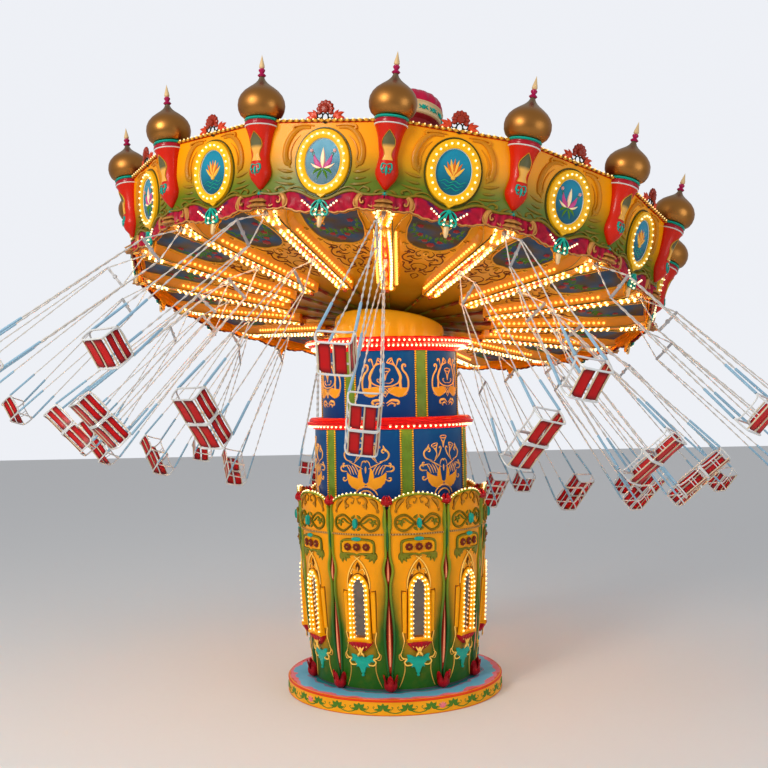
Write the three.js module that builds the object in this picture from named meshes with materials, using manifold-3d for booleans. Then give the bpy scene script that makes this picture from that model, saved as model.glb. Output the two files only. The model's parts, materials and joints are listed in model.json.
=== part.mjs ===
// Chair swing ride with a rising tower and a tilting canopy.
// Millimetres, +Z up, origin at the centre of the plinth's underside.
// The side that faces -Y is the front. The canopy is shown raised, tilted and spinning,
// so its chairs stand out from it.
import * as THREE from 'three'
import { mergeVertices } from 'three/addons/utils/BufferGeometryUtils.js'
import Module from 'manifold-3d'

const wasm = await Module()
wasm.setup()

const deg = Math.PI / 180
const up = new THREE.Vector3(0, 1, 0)
const seam = 0.3            // gap between faces that rest on each other
const bearingGap = 0.5      // gap round a turning shaft
const slideGap = 0.5        // gap between the mast's edges and the column that slides on it

// Plinth and the tower that turns on it
const plinthRadius = 2160
const plinthHeight = 293
const turntableRadius = 1625
const turntableHeight = 40
const mastRadius = 330
const mastTop = 3850
const stroke = 2800         // how far the tower sinks when the chairs are boarded
const columnSides = 48

// Barrel of flared panels round the foot of the tower
const panelCount = 10
const panelPhase = -2.9 * deg
const panelAngle = 33 * deg
const panelThickness = 30
const barrelFoot = 1600
const barrelFlare = 262     // how much wider the barrel is at its shoulder
const barrelWaist = 1700    // height where a panel's sides bend
const barrelShoulder = 3750
const archRise = 300
const linerGap = 8           // the panels bulge a little clear of the liner
const linerThickness = 12

// The rising column: two drums with a cornice over each
const lowerTierRadius = 1535
const lowerTierFoot = plinthHeight + turntableHeight + stroke + 27
const midRingFoot = 5258
const midRingTop = 5450
const midRingRadius = 1696
const upperTierRadius = 1370
const topRingFoot = 6790
const topRingTop = 6991
const topRingRadius = 1699
const shaftWell = 1250      // radius of the well in which the tilting head moves
const wellFloor = 6200

// Tilting head
const pivotHeight = 7099
const tilt = 13.18 * deg
const lowSide = 31.6 * deg  // heading of the canopy's low side, from +Y towards +X
const drumRadius = 1120
const drumTop = 250
const drumSkirt = 450       // how far the drum reaches below the pivot
const sheet = 25
const headShaft = 250
const headTop = 900
const trunnionRadius = 80
const trunnionReach = 780
const yokeInner = 600
const yokeWidth = 160
const yokeDepth = 200
const yokeTop = 130         // above the pivot

// Canopy, in its own frame: the origin is the pivot and +Z is the spinning axis
const bays = 16
const bayAngle = 2 * Math.PI / bays
const bayPhase = -1.99 * deg
const splay = 0.2244        // how far the rounding boards lean out for each unit of height
const boardRadius = 5404    // of a corner, at medallion height
const medallionHeight = 1375
const medallionHalfWidth = 445
const medallionHalfHeight = 515
const medallionProud = 12
const boardFoot = 740
const boardTop = 1985
const boardThickness = 40
const rimGap = 0.6          // round the rims of the ceiling and the roof, inside the boards
const ceilingInner = 330    // heights of the ceiling at the hub and at its rim
const ceilingOuter = 800
const hubRadius = 420
const hubTop = 1150
const roofFoot = 1900
const roofTop = 4150
const roofInner = 560
const crownRadius = 680
const crownTop = 5470
const valanceFoot = 650

// Sweeps under the canopy
const sweepInner = 2060
const sweepOuter = 5100
const sweepWidth = 300
const sweepDepthInner = 170
const sweepDepthOuter = 190
const sweepDepthEnd = 110
const tieRadius = 1260      // of the ring that the ties run in to
const tieWidth = 70
const tieDepth = 50

// Chairs: where they hang, how long they hang, and how the spinning throws them out
const outerRing = { reach: 5070, hang: 4055, spreader: 675, out: 1.098, lead: 0.186, seats: 1 }
const innerRing = { reach: 3400, hang: 4100, spreader: 580, out: 0.918, lead: 0.086, seats: 2 }
const hangerDrop = 43       // from a sweep's underside to the pin
const hangerTop = 25
const hangerThickness = 36
const lugThickness = 16
const lugWidth = 50
const seatWidth = 500
const seatDivider = 20      // between the two seats of a double chair
const seatDrop = 150        // from a seated rider's middle, where a chair's length is measured to, to the seat
const spreaderReach = 230   // from the middle of a spreader to its chains
const chainWidth = 26

const colours = {
  plinth: [0xd8452a, 0.5, 0], steel: [0x6d7478, 0.45, 0.7], orange: [0xf0950f, 0.35, 0],
  pink: [0xe0705a, 0.4, 0], blue: [0x10458f, 0.4, 0], red: [0xc01818, 0.35, 0],
  yellow: [0xe9a219, 0.4, 0], bronze: [0x8a6418, 0.5, 0], olive: [0x8c8a2a, 0.4, 0],
  flame: [0xe0421a, 0.35, 0], burgundy: [0x7a1328, 0.6, 0], cream: [0xd9c39a, 0.6, 0],
  chair: [0xd5d8da, 0.35, 0.3],
}

function paint (name) {
  const [color, roughness, metalness] = colours[name]
  return new THREE.MeshStandardMaterial({ color, roughness, metalness })
}

// A closed geometry as a solid that can be joined and cut
function solid (geometry, matrix = null) {
  const plain = geometry.clone()
  if (matrix) plain.applyMatrix4(matrix)
  plain.deleteAttribute('normal')
  plain.deleteAttribute('uv')
  const merged = mergeVertices(plain, 1e-3)
  const triVerts = Uint32Array.from(merged.index.array)
  const vertProperties = Float32Array.from(merged.attributes.position.array)
  return new wasm.Manifold(new wasm.Mesh({ numProp: 3, vertProperties, triVerts }))
}

function geometryOf (manifold) {
  const mesh = manifold.getMesh()
  const geometry = new THREE.BufferGeometry()
  geometry.setAttribute('position', new THREE.BufferAttribute(mesh.vertProperties, 3))
  geometry.setIndex(new THREE.BufferAttribute(mesh.triVerts, 1))
  return geometry
}

function joined (solids) {
  return solids.reduce((whole, piece) => whole.add(piece))
}

function meshOf (name, colour, geometry) {
  const mesh = new THREE.Mesh(geometry, paint(colour))
  mesh.name = name
  return mesh
}

function at (x, y, z) {
  return new THREE.Matrix4().makeTranslation(x, y, z)
}

// Headings are measured from the front (-Y) towards +X
function turned (heading) {
  return new THREE.Matrix4().makeRotationZ(heading)
}

// The frame of the arm at a heading: +X runs out along the arm
function armFrame (heading) {
  return turned(heading - Math.PI / 2)
}

// A profile of [radius, height] pairs spun round Z
function spun (profile, sides, phase = 0) {
  const points = profile.map(([r, z]) => new THREE.Vector2(r, z))
  const geometry = new THREE.LatheGeometry(points, sides)
  geometry.rotateX(Math.PI / 2)
  geometry.rotateZ(phase)
  return geometry
}

function path (points, Kind) {
  return new Kind(points.map(([u, v]) => new THREE.Vector2(u, v)))
}

function ring (inner, outer, low, high) {
  return [[inner, low], [outer, low], [outer, high], [inner, high], [inner, low]]
}

function disc (radius, low, high) {
  return [[0, low], [radius, low], [radius, high], [0, high]]
}

// A square bar from one point to another
function bar (from, to, width, depth = width) {
  const start = new THREE.Vector3(...from)
  const along = new THREE.Vector3(...to).sub(start)
  const geometry = new THREE.BoxGeometry(width, along.length(), depth)
  geometry.translate(0, along.length() / 2, 0)
  geometry.applyQuaternion(new THREE.Quaternion().setFromUnitVectors(up, along.clone().normalize()))
  geometry.translate(start.x, start.y, start.z)
  return solid(geometry)
}

function box (width, depth, height, x, y, z) {
  return solid(new THREE.BoxGeometry(width, depth, height), at(x, y, z))
}

// Base
function plinth () {
  return meshOf('plinth', 'plinth', spun(disc(plinthRadius, 0, plinthHeight), 64))
}

function turntable () {
  const low = plinthHeight + seam
  return meshOf('turntable', 'steel', spun(disc(turntableRadius, low, low + turntableHeight), 40))
}

function liftMast () {
  const foot = plinthHeight + turntableHeight + 2 * seam
  // its edges bear on the middles of every other face of the column's bore
  const post = spun(disc(mastRadius, foot, mastTop), columnSides / 2, Math.PI / columnSides)
  return meshOf('lift_mast', 'steel', post)
}

// Barrel
function barrelRadius (z) {
  const share = Math.min(1, (z - plinthHeight) / (barrelShoulder - plinthHeight))
  return barrelFoot + barrelFlare * (1 - (1 - share) ** 1.7)
}

function barrelShell (inset, thickness, low, high, sides) {
  const steps = 4
  const outside = []
  for (let i = 0; i <= steps; i += 1) {
    const z = low + (high - low) * i / steps
    outside.push([barrelRadius(z) - inset, z])
  }
  const inside = outside.map(([r, z]) => [r - thickness, z]).reverse()
  return spun([...outside, ...inside, outside[0]], sides)
}

const panelFoot = plinthHeight + turntableHeight + 2 * seam

// A panel's outline seen from outside: it widens upward and ends in an arch
function panelOutline () {
  const halfWidth = height => barrelRadius(height) * Math.sin(panelAngle / 2)
  const shape = new THREE.Shape()
  shape.moveTo(-halfWidth(panelFoot), panelFoot)
  shape.lineTo(halfWidth(panelFoot), panelFoot)
  shape.lineTo(halfWidth(barrelWaist), barrelWaist)
  shape.lineTo(halfWidth(barrelShoulder), barrelShoulder)
  const steps = 6
  for (let i = 1; i < steps; i += 1) {
    const turn = Math.PI * i / steps
    shape.lineTo(halfWidth(barrelShoulder) * Math.cos(turn), barrelShoulder + archRise * Math.sin(turn))
  }
  shape.lineTo(-halfWidth(barrelShoulder), barrelShoulder)
  shape.lineTo(-halfWidth(barrelWaist), barrelWaist)
  return shape
}

// A block of that outline which runs from inside the barrel out through its front
function panelCutter () {
  const inside = barrelFoot - 600
  const geometry = new THREE.ExtrudeGeometry(panelOutline(), { depth: 1400, bevelEnabled: false })
  geometry.rotateX(Math.PI / 2)
  geometry.translate(0, -inside, 0)
  return geometry
}

function barrelPanels () {
  const shell = solid(barrelShell(0, panelThickness, panelFoot, barrelShoulder + archRise + 10, 40))
  const front = shell.intersect(solid(panelCutter()))
  const panels = []
  for (let i = 0; i < panelCount; i += 1) {
    const mesh = meshOf(`barrel_panel_${i + 1}`, 'orange', geometryOf(front))
    mesh.rotation.z = panelPhase + (i + 0.5) * 2 * Math.PI / panelCount
    panels.push(mesh)
  }
  return panels
}

function barrelLiner () {
  const shell = barrelShell(panelThickness + linerGap, linerThickness, panelFoot, barrelShoulder - 20, 40)
  const mesh = meshOf('barrel_liner', 'pink', shell)
  mesh.rotation.z = panelPhase
  return mesh
}

// Rising column, with a bore that slides on the mast
const columnBore = (mastRadius + slideGap) / Math.cos(Math.PI / columnSides)

function lowerTier () {
  const profile = ring(columnBore, lowerTierRadius, lowerTierFoot, midRingFoot)
  return meshOf('lower_tier', 'blue', spun(profile, columnSides))
}

function midRing () {
  const profile = ring(columnBore, midRingRadius, midRingFoot + seam, midRingTop)
  return meshOf('mid_ring', 'red', spun(profile, columnSides))
}

function upperTier () {
  const foot = midRingTop + seam
  const profile = [
    [columnBore, foot], [upperTierRadius, foot], [upperTierRadius, topRingFoot],
    [shaftWell, topRingFoot], [shaftWell, wellFloor], [columnBore, wellFloor], [columnBore, foot],
  ]
  return meshOf('upper_tier', 'blue', spun(profile, columnSides))
}

function topRing () {
  const profile = ring(shaftWell, topRingRadius, topRingFoot + seam, topRingTop)
  return meshOf('top_ring', 'red', spun(profile, columnSides))
}

// Two posts on a ring that carry the head's trunnions. Local X is the tilt axis.
function tiltYoke () {
  const plateFoot = wellFloor + seam
  const plateRadius = 900
  const plate = solid(spun(ring(mastRadius + 20, plateRadius, plateFoot, plateFoot + 60), 24))
  const foot = plateFoot + 30
  const high = pivotHeight + yokeTop
  const posts = [-1, 1].map(side => box(yokeWidth, yokeDepth, high - foot,
    side * (yokeInner + yokeWidth / 2), 0, (high + foot) / 2))
  const boreRadius = (trunnionRadius + bearingGap) / Math.cos(Math.PI / 16)
  const through = new THREE.CylinderGeometry(boreRadius, boreRadius, 3 * plateRadius, 16).rotateZ(Math.PI / 2)
  const bore = solid(through, at(0, 0, pivotHeight))
  return meshOf('tilt_yoke', 'steel', geometryOf(joined([plate, ...posts]).subtract(bore)))
}

// Tilting head: the cover drum, its shaft and trunnions, drawn in the canopy's frame
function tiltHead () {
  const foot = 30 - headShaft   // the shaft ends below the trunnions
  const profile = [
    [0, foot], [headShaft, foot], [headShaft, drumTop - sheet], [drumRadius - sheet, drumTop - sheet],
    [drumRadius - sheet, -drumSkirt], [drumRadius, -drumSkirt], [drumRadius, drumTop],
    [headShaft, drumTop], [headShaft, headTop], [0, headTop],
  ]
  const shell = solid(spun(profile, 24))
  const trunnions = new THREE.CylinderGeometry(trunnionRadius, trunnionRadius, 2 * trunnionReach, 16)
  return meshOf('tilt_head', 'yellow', geometryOf(shell.add(solid(trunnions.rotateZ(Math.PI / 2)))))
}

// Canopy pieces, with a corner of the sixteen sides at each column
function cornerRadius (height) {
  return boardRadius + splay * (height - medallionHeight)
}

function canopyHub () {
  const sides = 32
  const bore = (headShaft + bearingGap) / Math.cos(Math.PI / sides)
  const foot = drumTop + bearingGap
  const lid = hubTop - 150
  const profile = [
    [bore, foot], [hubRadius, foot], [hubRadius, hubTop], [0, hubTop], [0, lid], [bore, lid], [bore, foot],
  ]
  return meshOf('canopy_hub', 'steel', spun(profile, sides))
}

const rimRadius = cornerRadius(ceilingOuter) - boardThickness - rimGap
const ceilingSlope = (ceilingOuter - ceilingInner) / (rimRadius - hubRadius)
const ceilingHeight = radius => ceilingInner + ceilingSlope * (radius - hubRadius)

function ceiling () {
  const inner = (hubRadius + bearingGap) / Math.cos(bayAngle / 2)
  const profile = [
    [inner, ceilingHeight(inner)], [rimRadius, ceilingOuter],
    [rimRadius, ceilingOuter + sheet], [inner, ceilingHeight(inner) + sheet], [inner, ceilingHeight(inner)],
  ]
  return meshOf('ceiling', 'bronze', spun(profile, bays))
}

// A sweep hangs under the ceiling, and its tie runs in to the ring round the drum
const sweepKnee = sweepOuter - 350
const kneeBottom = ceilingHeight(sweepOuter) - sweepDepthOuter
const innerBottom = ceilingHeight(sweepInner) - sweepDepthInner
const outerBottom = ceilingHeight(sweepOuter) - sweepDepthEnd

function sweepBottom (radius) {
  if (radius < sweepKnee) {
    return innerBottom + (kneeBottom - innerBottom) * (radius - sweepInner) / (sweepKnee - sweepInner)
  }
  return kneeBottom + (outerBottom - kneeBottom) * (radius - sweepKnee) / (sweepOuter - sweepKnee)
}

function sweepShape () {
  return path([
    [sweepInner, ceilingHeight(sweepInner) - seam], [sweepInner, innerBottom], [sweepKnee, kneeBottom],
    [sweepOuter, outerBottom], [sweepOuter, ceilingHeight(sweepOuter) - seam],
  ], THREE.Shape)
}

// The lug beside a chair's hanger plate, from below the pin up into the sweep
function lug (ringOf, heading) {
  const { aside } = thrown(ringOf, heading)
  const low = sweepBottom(ringOf.reach) - hangerDrop - 30
  const high = sweepBottom(ringOf.reach - lugWidth) + 15
  const beside = hangerThickness / 2 + bearingGap + lugThickness / 2
  const place = armFrame(heading).multiply(at(ringOf.reach, 0, (low + high) / 2))
  place.multiply(turned(aside)).multiply(at(0, beside, 0))
  return solid(new THREE.BoxGeometry(lugWidth, lugThickness, high - low), place)
}

function sweepArm () {
  const geometry = new THREE.ExtrudeGeometry(sweepShape(), { depth: sweepWidth, bevelEnabled: false })
  geometry.translate(0, 0, -sweepWidth / 2)
  geometry.rotateX(Math.PI / 2)
  const tieEnd = sweepInner + 60
  const tie = bar([tieRadius, 0, tieLevel(tieRadius)], [tieEnd, 0, tieLevel(tieEnd)], tieWidth, tieDepth)
  return solid(geometry).add(tie)
}

function tieLevel (radius) {
  return ceilingHeight(radius) - 45
}

function sweepArms () {
  const arm = sweepArm()
  const level = tieLevel(tieRadius)
  const half = tieDepth / 2
  const collar = solid(spun(ring(tieRadius - 60, tieRadius + 60, level - half, level + half), bays * 2))
  const pieces = [collar]
  for (let i = 0; i < bays; i += 1) {
    const heading = bayPhase + i * bayAngle
    pieces.push(arm.rotate([0, 0, heading / deg - 90]), lug(outerRing, heading), lug(innerRing, heading))
  }
  return meshOf('sweep_arms', 'yellow', geometryOf(joined(pieces)))
}

function boardProfile (outerInset, innerInset) {
  return [
    [cornerRadius(boardFoot) - outerInset, boardFoot], [cornerRadius(boardTop) - outerInset, boardTop],
    [cornerRadius(boardTop) - innerInset, boardTop], [cornerRadius(boardFoot) - innerInset, boardFoot],
    [cornerRadius(boardFoot) - outerInset, boardFoot],
  ]
}

// Leans a piece that stands on the boards out by their splay
function leaning () {
  return new THREE.Matrix4().makeRotationX(Math.atan(splay))
}

// Rounding boards with an oval medallion plate on each
function roundingBoards () {
  const pieces = [solid(spun(boardProfile(0, boardThickness), bays))]
  const face = cornerRadius(medallionHeight) * Math.cos(bayAngle / 2)
  const oval = new THREE.CylinderGeometry(1, 1, 1, 10)
  for (let i = 0; i < bays; i += 1) {
    const place = turned((i + 0.5) * bayAngle)
      .multiply(at(0, -face - medallionProud, medallionHeight))
      .multiply(leaning())
      .multiply(new THREE.Matrix4().makeScale(medallionHalfWidth, 60, medallionHalfHeight))
    pieces.push(solid(oval, place))
  }
  return meshOf('rounding_boards', 'olive', geometryOf(joined(pieces)))
}

// A turned column with its dome and spire: [radius, height] pairs from its foot to its tip
const columnProfile = [
  [0, 843], [65, 930], [185, 1090], [150, 1420], [270, 1920], [225, 2035],
  [345, 2160], [345, 2400], [120, 2620], [0, 3018],
]

// Half columns with their domes and spires, on the rail along the boards' top edge
function columns () {
  const railFoot = boardTop + seam
  const railTop = railFoot + 45
  const railInner = cornerRadius(railFoot) - 60
  const rail = solid(spun([
    [railInner, railFoot], [cornerRadius(railFoot) + 20, railFoot], [cornerRadius(railFoot) + 25, railTop],
    [railInner, railTop], [railInner, railFoot],
  ], bays))
  const stretch = Math.hypot(1, splay)
  const leaned = columnProfile.map(([r, h]) => [r, (h - medallionHeight) * stretch])
  const place = at(0, -cornerRadius(medallionHeight), medallionHeight).multiply(leaning())
  const whole = solid(spun(leaned, 8, Math.PI / 8), place)
  // what the boards take up, from below the columns' feet to the underside of the rail
  const low = boardFoot - 40
  const high = boardTop + seam / 2
  const taken = [[0, low], [cornerRadius(low) + seam, low], [cornerRadius(high) + seam, high], [0, high]]
  const behind = solid(spun(taken, bays))
  const column = whole.subtract(behind)
  const pieces = [rail]
  for (let i = 0; i < bays; i += 1) {
    pieces.push(column.rotate([0, 0, i * 360 / bays]))
  }
  return meshOf('columns', 'flame', geometryOf(joined(pieces)))
}

function valance () {
  const top = boardFoot - seam
  const outer = cornerRadius(top) - 10
  const profile = [
    [outer - 30, valanceFoot], [outer - 5, valanceFoot], [outer, top], [outer - 25, top],
    [outer - 30, valanceFoot],
  ]
  return meshOf('valance', 'burgundy', spun(profile, bays))
}

function roof () {
  const outer = cornerRadius(roofFoot - sheet) - boardThickness - rimGap
  const profile = [
    [roofInner, roofTop - sheet], [outer, roofFoot - sheet], [outer, roofFoot], [roofInner, roofTop],
    [roofInner, roofTop - sheet],
  ]
  return meshOf('roof', 'cream', spun(profile, bays))
}

// The crown on the roof: a post up from the hub, a collar in the roof's ring, and a ribbed cushion
function crown () {
  const post = hubRadius * 0.6
  const collar = roofInner - seam
  const profile = [
    [0, hubTop + seam], [post, hubTop + seam], [post, roofTop - 300], [collar, roofTop - 120],
    [collar, roofTop + 480], [crownRadius - 40, roofTop + 560], [crownRadius, roofTop + 800],
    [crownRadius * 0.92, roofTop + 1020], [crownRadius * 0.6, roofTop + 1200], [120, crownTop - 90],
    [0, crownTop],
  ]
  return meshOf('crown', 'burgundy', spun(profile, bays))
}

// Chairs. A chair's frame has its origin at the hanger's pin, with +Z up the chains and +Y ahead of the rider.
// A plate drawn in the Y-Z plane, centred on x = 0
function sidePlate (outline, holes, thickness) {
  const shape = path(outline, THREE.Shape)
  holes.forEach(hole => shape.holes.push(path(hole, THREE.Path)))
  const geometry = new THREE.ExtrudeGeometry(shape, { depth: thickness, bevelEnabled: false })
  geometry.translate(0, 0, -thickness / 2)
  geometry.rotateX(Math.PI / 2)
  geometry.rotateZ(Math.PI / 2)
  return geometry
}

// One side of a chair: its frame, and the front and back chains that run up to the spreader.
// The frame stands at the seat's edge, and the chains lean in to the spreader's end.
function chairSide (side, arm, spread, rise, floor) {
  const outline = [
    [-252, 325], [-235, 0], [200, 0], [248, 120], [248, 275], [14, rise], [-14, rise],
  ]
  const betweenChains = [[0, rise - 80], [222, 287], [-226, 330]]
  const underArm = [[-212, 292], [-200, 44], [186, 44], [216, 250]]
  const geometry = sidePlate(outline, [betweenChains, underArm], chainWidth)
  const place = geometry.attributes.position
  for (let i = 0; i < place.count; i += 1) {
    const middle = side * (place.getZ(i) > rise / 2 ? spread : arm)
    place.setX(i, place.getX(i) + middle)
  }
  geometry.translate(0, 0, floor)
  return solid(geometry)
}

// The hanger: two lines from the swivel down to the ends of a flat spreader
function spreaderPlate (spread, level) {
  const end = spread + 20
  const outline = [
    [22, hangerTop], [-22, hangerTop], [-end, level + 30],
    [-end, level - 30], [end, level - 30], [end, level + 30],
  ]
  const betweenLines = [[0, -70], [spread - 45, level + 36], [45 - spread, level + 36]]
  const geometry = sidePlate(outline, [betweenLines], hangerThickness)
  geometry.rotateZ(-Math.PI / 2)
  return solid(geometry)
}

// Seat and back are one bent panel
function seatPanel (width, floor) {
  const outline = [[-232, 4], [195, 4], [195, 40], [-203, 40], [-222, 321], [-248, 321]]
  return solid(sidePlate(outline, [], width), at(0, 0, floor))
}

function lapBar (arm, floor) {
  const ahead = 232
  const level = floor + 200
  return bar([-arm, ahead, level], [arm, ahead, level], 24)
}

function chairSolid (ringOf) {
  const width = seatWidth * ringOf.seats + seatDivider * (ringOf.seats - 1)
  const arm = (width - chainWidth) / 2
  const floor = -ringOf.hang - seatDrop
  const level = -ringOf.spreader
  const sides = [-1, 1].map(side => chairSide(side, arm, spreaderReach, level - floor, floor))
  return joined([spreaderPlate(spreaderReach, level), ...sides, seatPanel(2 * arm, floor), lapBar(arm, floor)])
}

// The direction in which a spinning chair stands out, in the canopy's frame.
// Weight pulls straight down, and the spin pulls out along the arm and a little ahead.
function thrown (ringOf, heading) {
  const lowHeading = Math.PI - lowSide
  const alongArm = Math.sin(tilt) * Math.cos(heading - lowHeading) + ringOf.out
  const acrossArm = -Math.sin(tilt) * Math.sin(heading - lowHeading) - ringOf.lead
  return {
    out: Math.atan2(Math.hypot(alongArm, acrossArm), Math.cos(tilt)),
    aside: Math.atan2(acrossArm, alongArm),
  }
}

function chairs (ringOf, label) {
  const geometry = geometryOf(chairSolid(ringOf))
  const all = []
  for (let i = 0; i < bays; i += 1) {
    const heading = bayPhase + i * bayAngle
    const { out, aside } = thrown(ringOf, heading)
    const chair = meshOf(`${label}_chair_${i + 1}`, 'chair', geometry)
    // the pin lies across the direction of the throw, and the rider faces the way the canopy turns
    const place = armFrame(heading).multiply(at(ringOf.reach, 0, sweepBottom(ringOf.reach) - hangerDrop))
    place.multiply(turned(aside)).multiply(new THREE.Matrix4().makeRotationY(-out)).multiply(turned(Math.PI))
    chair.applyMatrix4(place)
    all.push(chair)
  }
  return all
}

function canopyGroup () {
  const group = new THREE.Group()
  const bayed = new THREE.Group()
  bayed.add(ceiling(), roundingBoards(), columns(), valance(), roof(), crown())
  bayed.rotation.z = bayPhase
  group.add(canopyHub(), sweepArms(), bayed, ...chairs(outerRing, 'outer'), ...chairs(innerRing, 'inner'))
  return group
}

function tiltingGroup () {
  const group = new THREE.Group()
  const head = tiltHead()
  head.rotation.z = Math.PI - lowSide
  group.add(head, canopyGroup())
  group.position.z = pivotHeight
  const axis = new THREE.Vector3(-Math.cos(lowSide), Math.sin(lowSide), 0)
  group.quaternion.setFromAxisAngle(axis, tilt)
  return group
}

const ride = new THREE.Group()
ride.name = 'chair_swing_ride'
const yoke = tiltYoke()
yoke.rotation.z = Math.PI - lowSide
ride.add(plinth(), turntable(), liftMast(), ...barrelPanels(), barrelLiner())
ride.add(lowerTier(), midRing(), upperTier(), topRing(), yoke, tiltingGroup())

export default ride
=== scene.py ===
"""Chair swing ride: the painted, carved and lit dressing of a packed frame.

Lengths are in metres. The front of the ride looks along -Y, and a heading is an angle from the front
towards +X. The canopy has a frame of its own: its origin is the tilt pivot and +Z is its spinning axis.
Flat designs are drawn as (across, up, out) and then laid on the surface that carries them.
"""

import json
import math

import bmesh
import bpy
import numpy as np
from mathutils import Matrix, Vector
from mathutils.geometry import tessellate_polygon


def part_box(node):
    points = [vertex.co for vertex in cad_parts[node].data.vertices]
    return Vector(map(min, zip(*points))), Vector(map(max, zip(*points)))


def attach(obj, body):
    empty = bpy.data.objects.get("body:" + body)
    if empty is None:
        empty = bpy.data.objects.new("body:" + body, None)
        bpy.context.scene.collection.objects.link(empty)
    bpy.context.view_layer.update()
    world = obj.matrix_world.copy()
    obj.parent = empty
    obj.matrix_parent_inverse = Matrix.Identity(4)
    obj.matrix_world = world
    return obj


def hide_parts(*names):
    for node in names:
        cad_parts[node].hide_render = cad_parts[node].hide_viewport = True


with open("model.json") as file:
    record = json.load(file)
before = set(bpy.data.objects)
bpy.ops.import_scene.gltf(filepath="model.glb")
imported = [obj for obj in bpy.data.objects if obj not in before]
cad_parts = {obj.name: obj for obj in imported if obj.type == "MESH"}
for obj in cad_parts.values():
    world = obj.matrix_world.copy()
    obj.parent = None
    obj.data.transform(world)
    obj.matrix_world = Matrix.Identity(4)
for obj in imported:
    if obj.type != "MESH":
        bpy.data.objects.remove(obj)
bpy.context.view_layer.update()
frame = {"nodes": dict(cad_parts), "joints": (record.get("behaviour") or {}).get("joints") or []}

bl_info = {
    "name": "Chair swing ride",
    "version": (1, 0, 0),
    "blender": (4, 5, 0),
    "location": "View3D > Sidebar > Swing Ride",
    "description": "Dresses the frame of a chair swing ride with paint, carving and bulbs",
    "category": "Add Mesh",
}

TAU = 2 * math.pi

# Tower, from the frame
PLINTH_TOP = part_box("plinth")[1].z
PLINTH_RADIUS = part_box("plinth")[1].x
TIER_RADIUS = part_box("lower_tier")[1].x
UPPER_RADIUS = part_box("upper_tier")[1].x
MID_RING_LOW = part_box("mid_ring")[0].z
MID_RING_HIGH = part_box("mid_ring")[1].z
TOP_RING_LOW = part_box("top_ring")[0].z
TOP_RING_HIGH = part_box("top_ring")[1].z
RING_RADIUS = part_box("top_ring")[1].x

# Barrel
PANELS = 10
PANEL_PHASE = math.radians(-2.9)
BARREL_FOOT = 1.6
BARREL_FLARE = 0.262
BARREL_SHOULDER = 3.75
ARCH_RISE = 0.3

# Canopy
BAYS = 16
BAY = TAU / BAYS
BAY_PHASE = math.radians(-1.99)
SPLAY = 0.2244
BOARD_RADIUS = 5.404
MEDALLION_HEIGHT = 1.375
BOARD_HIGH = 1.985
CEILING_INNER = 0.33
CEILING_SLOPE = 0.47 / 4.8135
HUB_RADIUS = 0.42
DRUM_RADIUS = 1.12
DRUM_TOP = 0.25
SWEEP_INNER = 2.06
SWEEP_OUTER = 5.1


def joint(name):
    return next(j for j in frame["joints"] if j["name"] == name)


TILT = joint("canopy_tilt")
PIVOT = Vector(TILT["pos_m"])
TILT_ANGLE = -math.radians(TILT["range_deg"][0])
CANOPY = Matrix.Translation(PIVOT) @ Matrix.Rotation(TILT_ANGLE, 4, Vector(TILT["axis"]))


# Shapes

class Shape:
    """Points and faces of a piece while it is made, with a shade from 0 to 1 at each point."""

    def __init__(self):
        self.parts = []

    def add(self, points, faces, shade=0.0):
        points = np.asarray(points, float)
        shades = np.broadcast_to(np.asarray(shade, float), (len(points),)).copy()
        self.parts.append((points, [np.asarray(f, int) for f in faces if len(f)], shades))
        return self

    def join(self, *others):
        for other in others:
            self.parts += other.parts
        return self

    def shaded(self, shade):
        """Sets the shade from a function of the points, or to one value."""
        self.parts = [
            (p, f, shade(p) if callable(shade) else np.full(len(p), float(shade))) for p, f, _ in self.parts
        ]
        return self

    def laid(self, move):
        done = Shape()
        done.parts = [(move(p), f, s) for p, f, s in self.parts]
        return done

    def raised(self, out):
        return self.laid(lambda p: p + [0.0, 0.0, out])

    def mirrored(self):
        """This shape and its mirror image across the first axis."""
        flip = np.array([-1.0, 1.0, 1.0])
        done = Shape().join(self)
        done.parts += [(p * flip, [g[:, ::-1] for g in f], s) for p, f, s in self.parts]
        return done

    def around(self, count, phase=0.0):
        """Copies turned round the upright axis."""
        done = Shape()
        for index in range(count):
            done.join(self.laid(turner(phase + index * TAU / count)))
        return done


def stack(*parts):
    """Points from columns or blocks of columns, where a number stands for a whole column."""
    count = max(len(part) for part in parts if np.ndim(part))
    return np.column_stack([part if np.ndim(part) else np.full(count, float(part)) for part in parts])


def round_axis(radius, angle, height):
    """Points round the upright axis. An angle is a heading from the front."""
    return stack(radius * np.sin(angle), -radius * np.cos(angle), height)


def turner(angle):
    cos = math.cos(angle)
    sin = math.sin(angle)
    turn = np.array([[cos, sin, 0.0], [-sin, cos, 0.0], [0.0, 0.0, 1.0]])
    return lambda p: p @ turn


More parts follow.
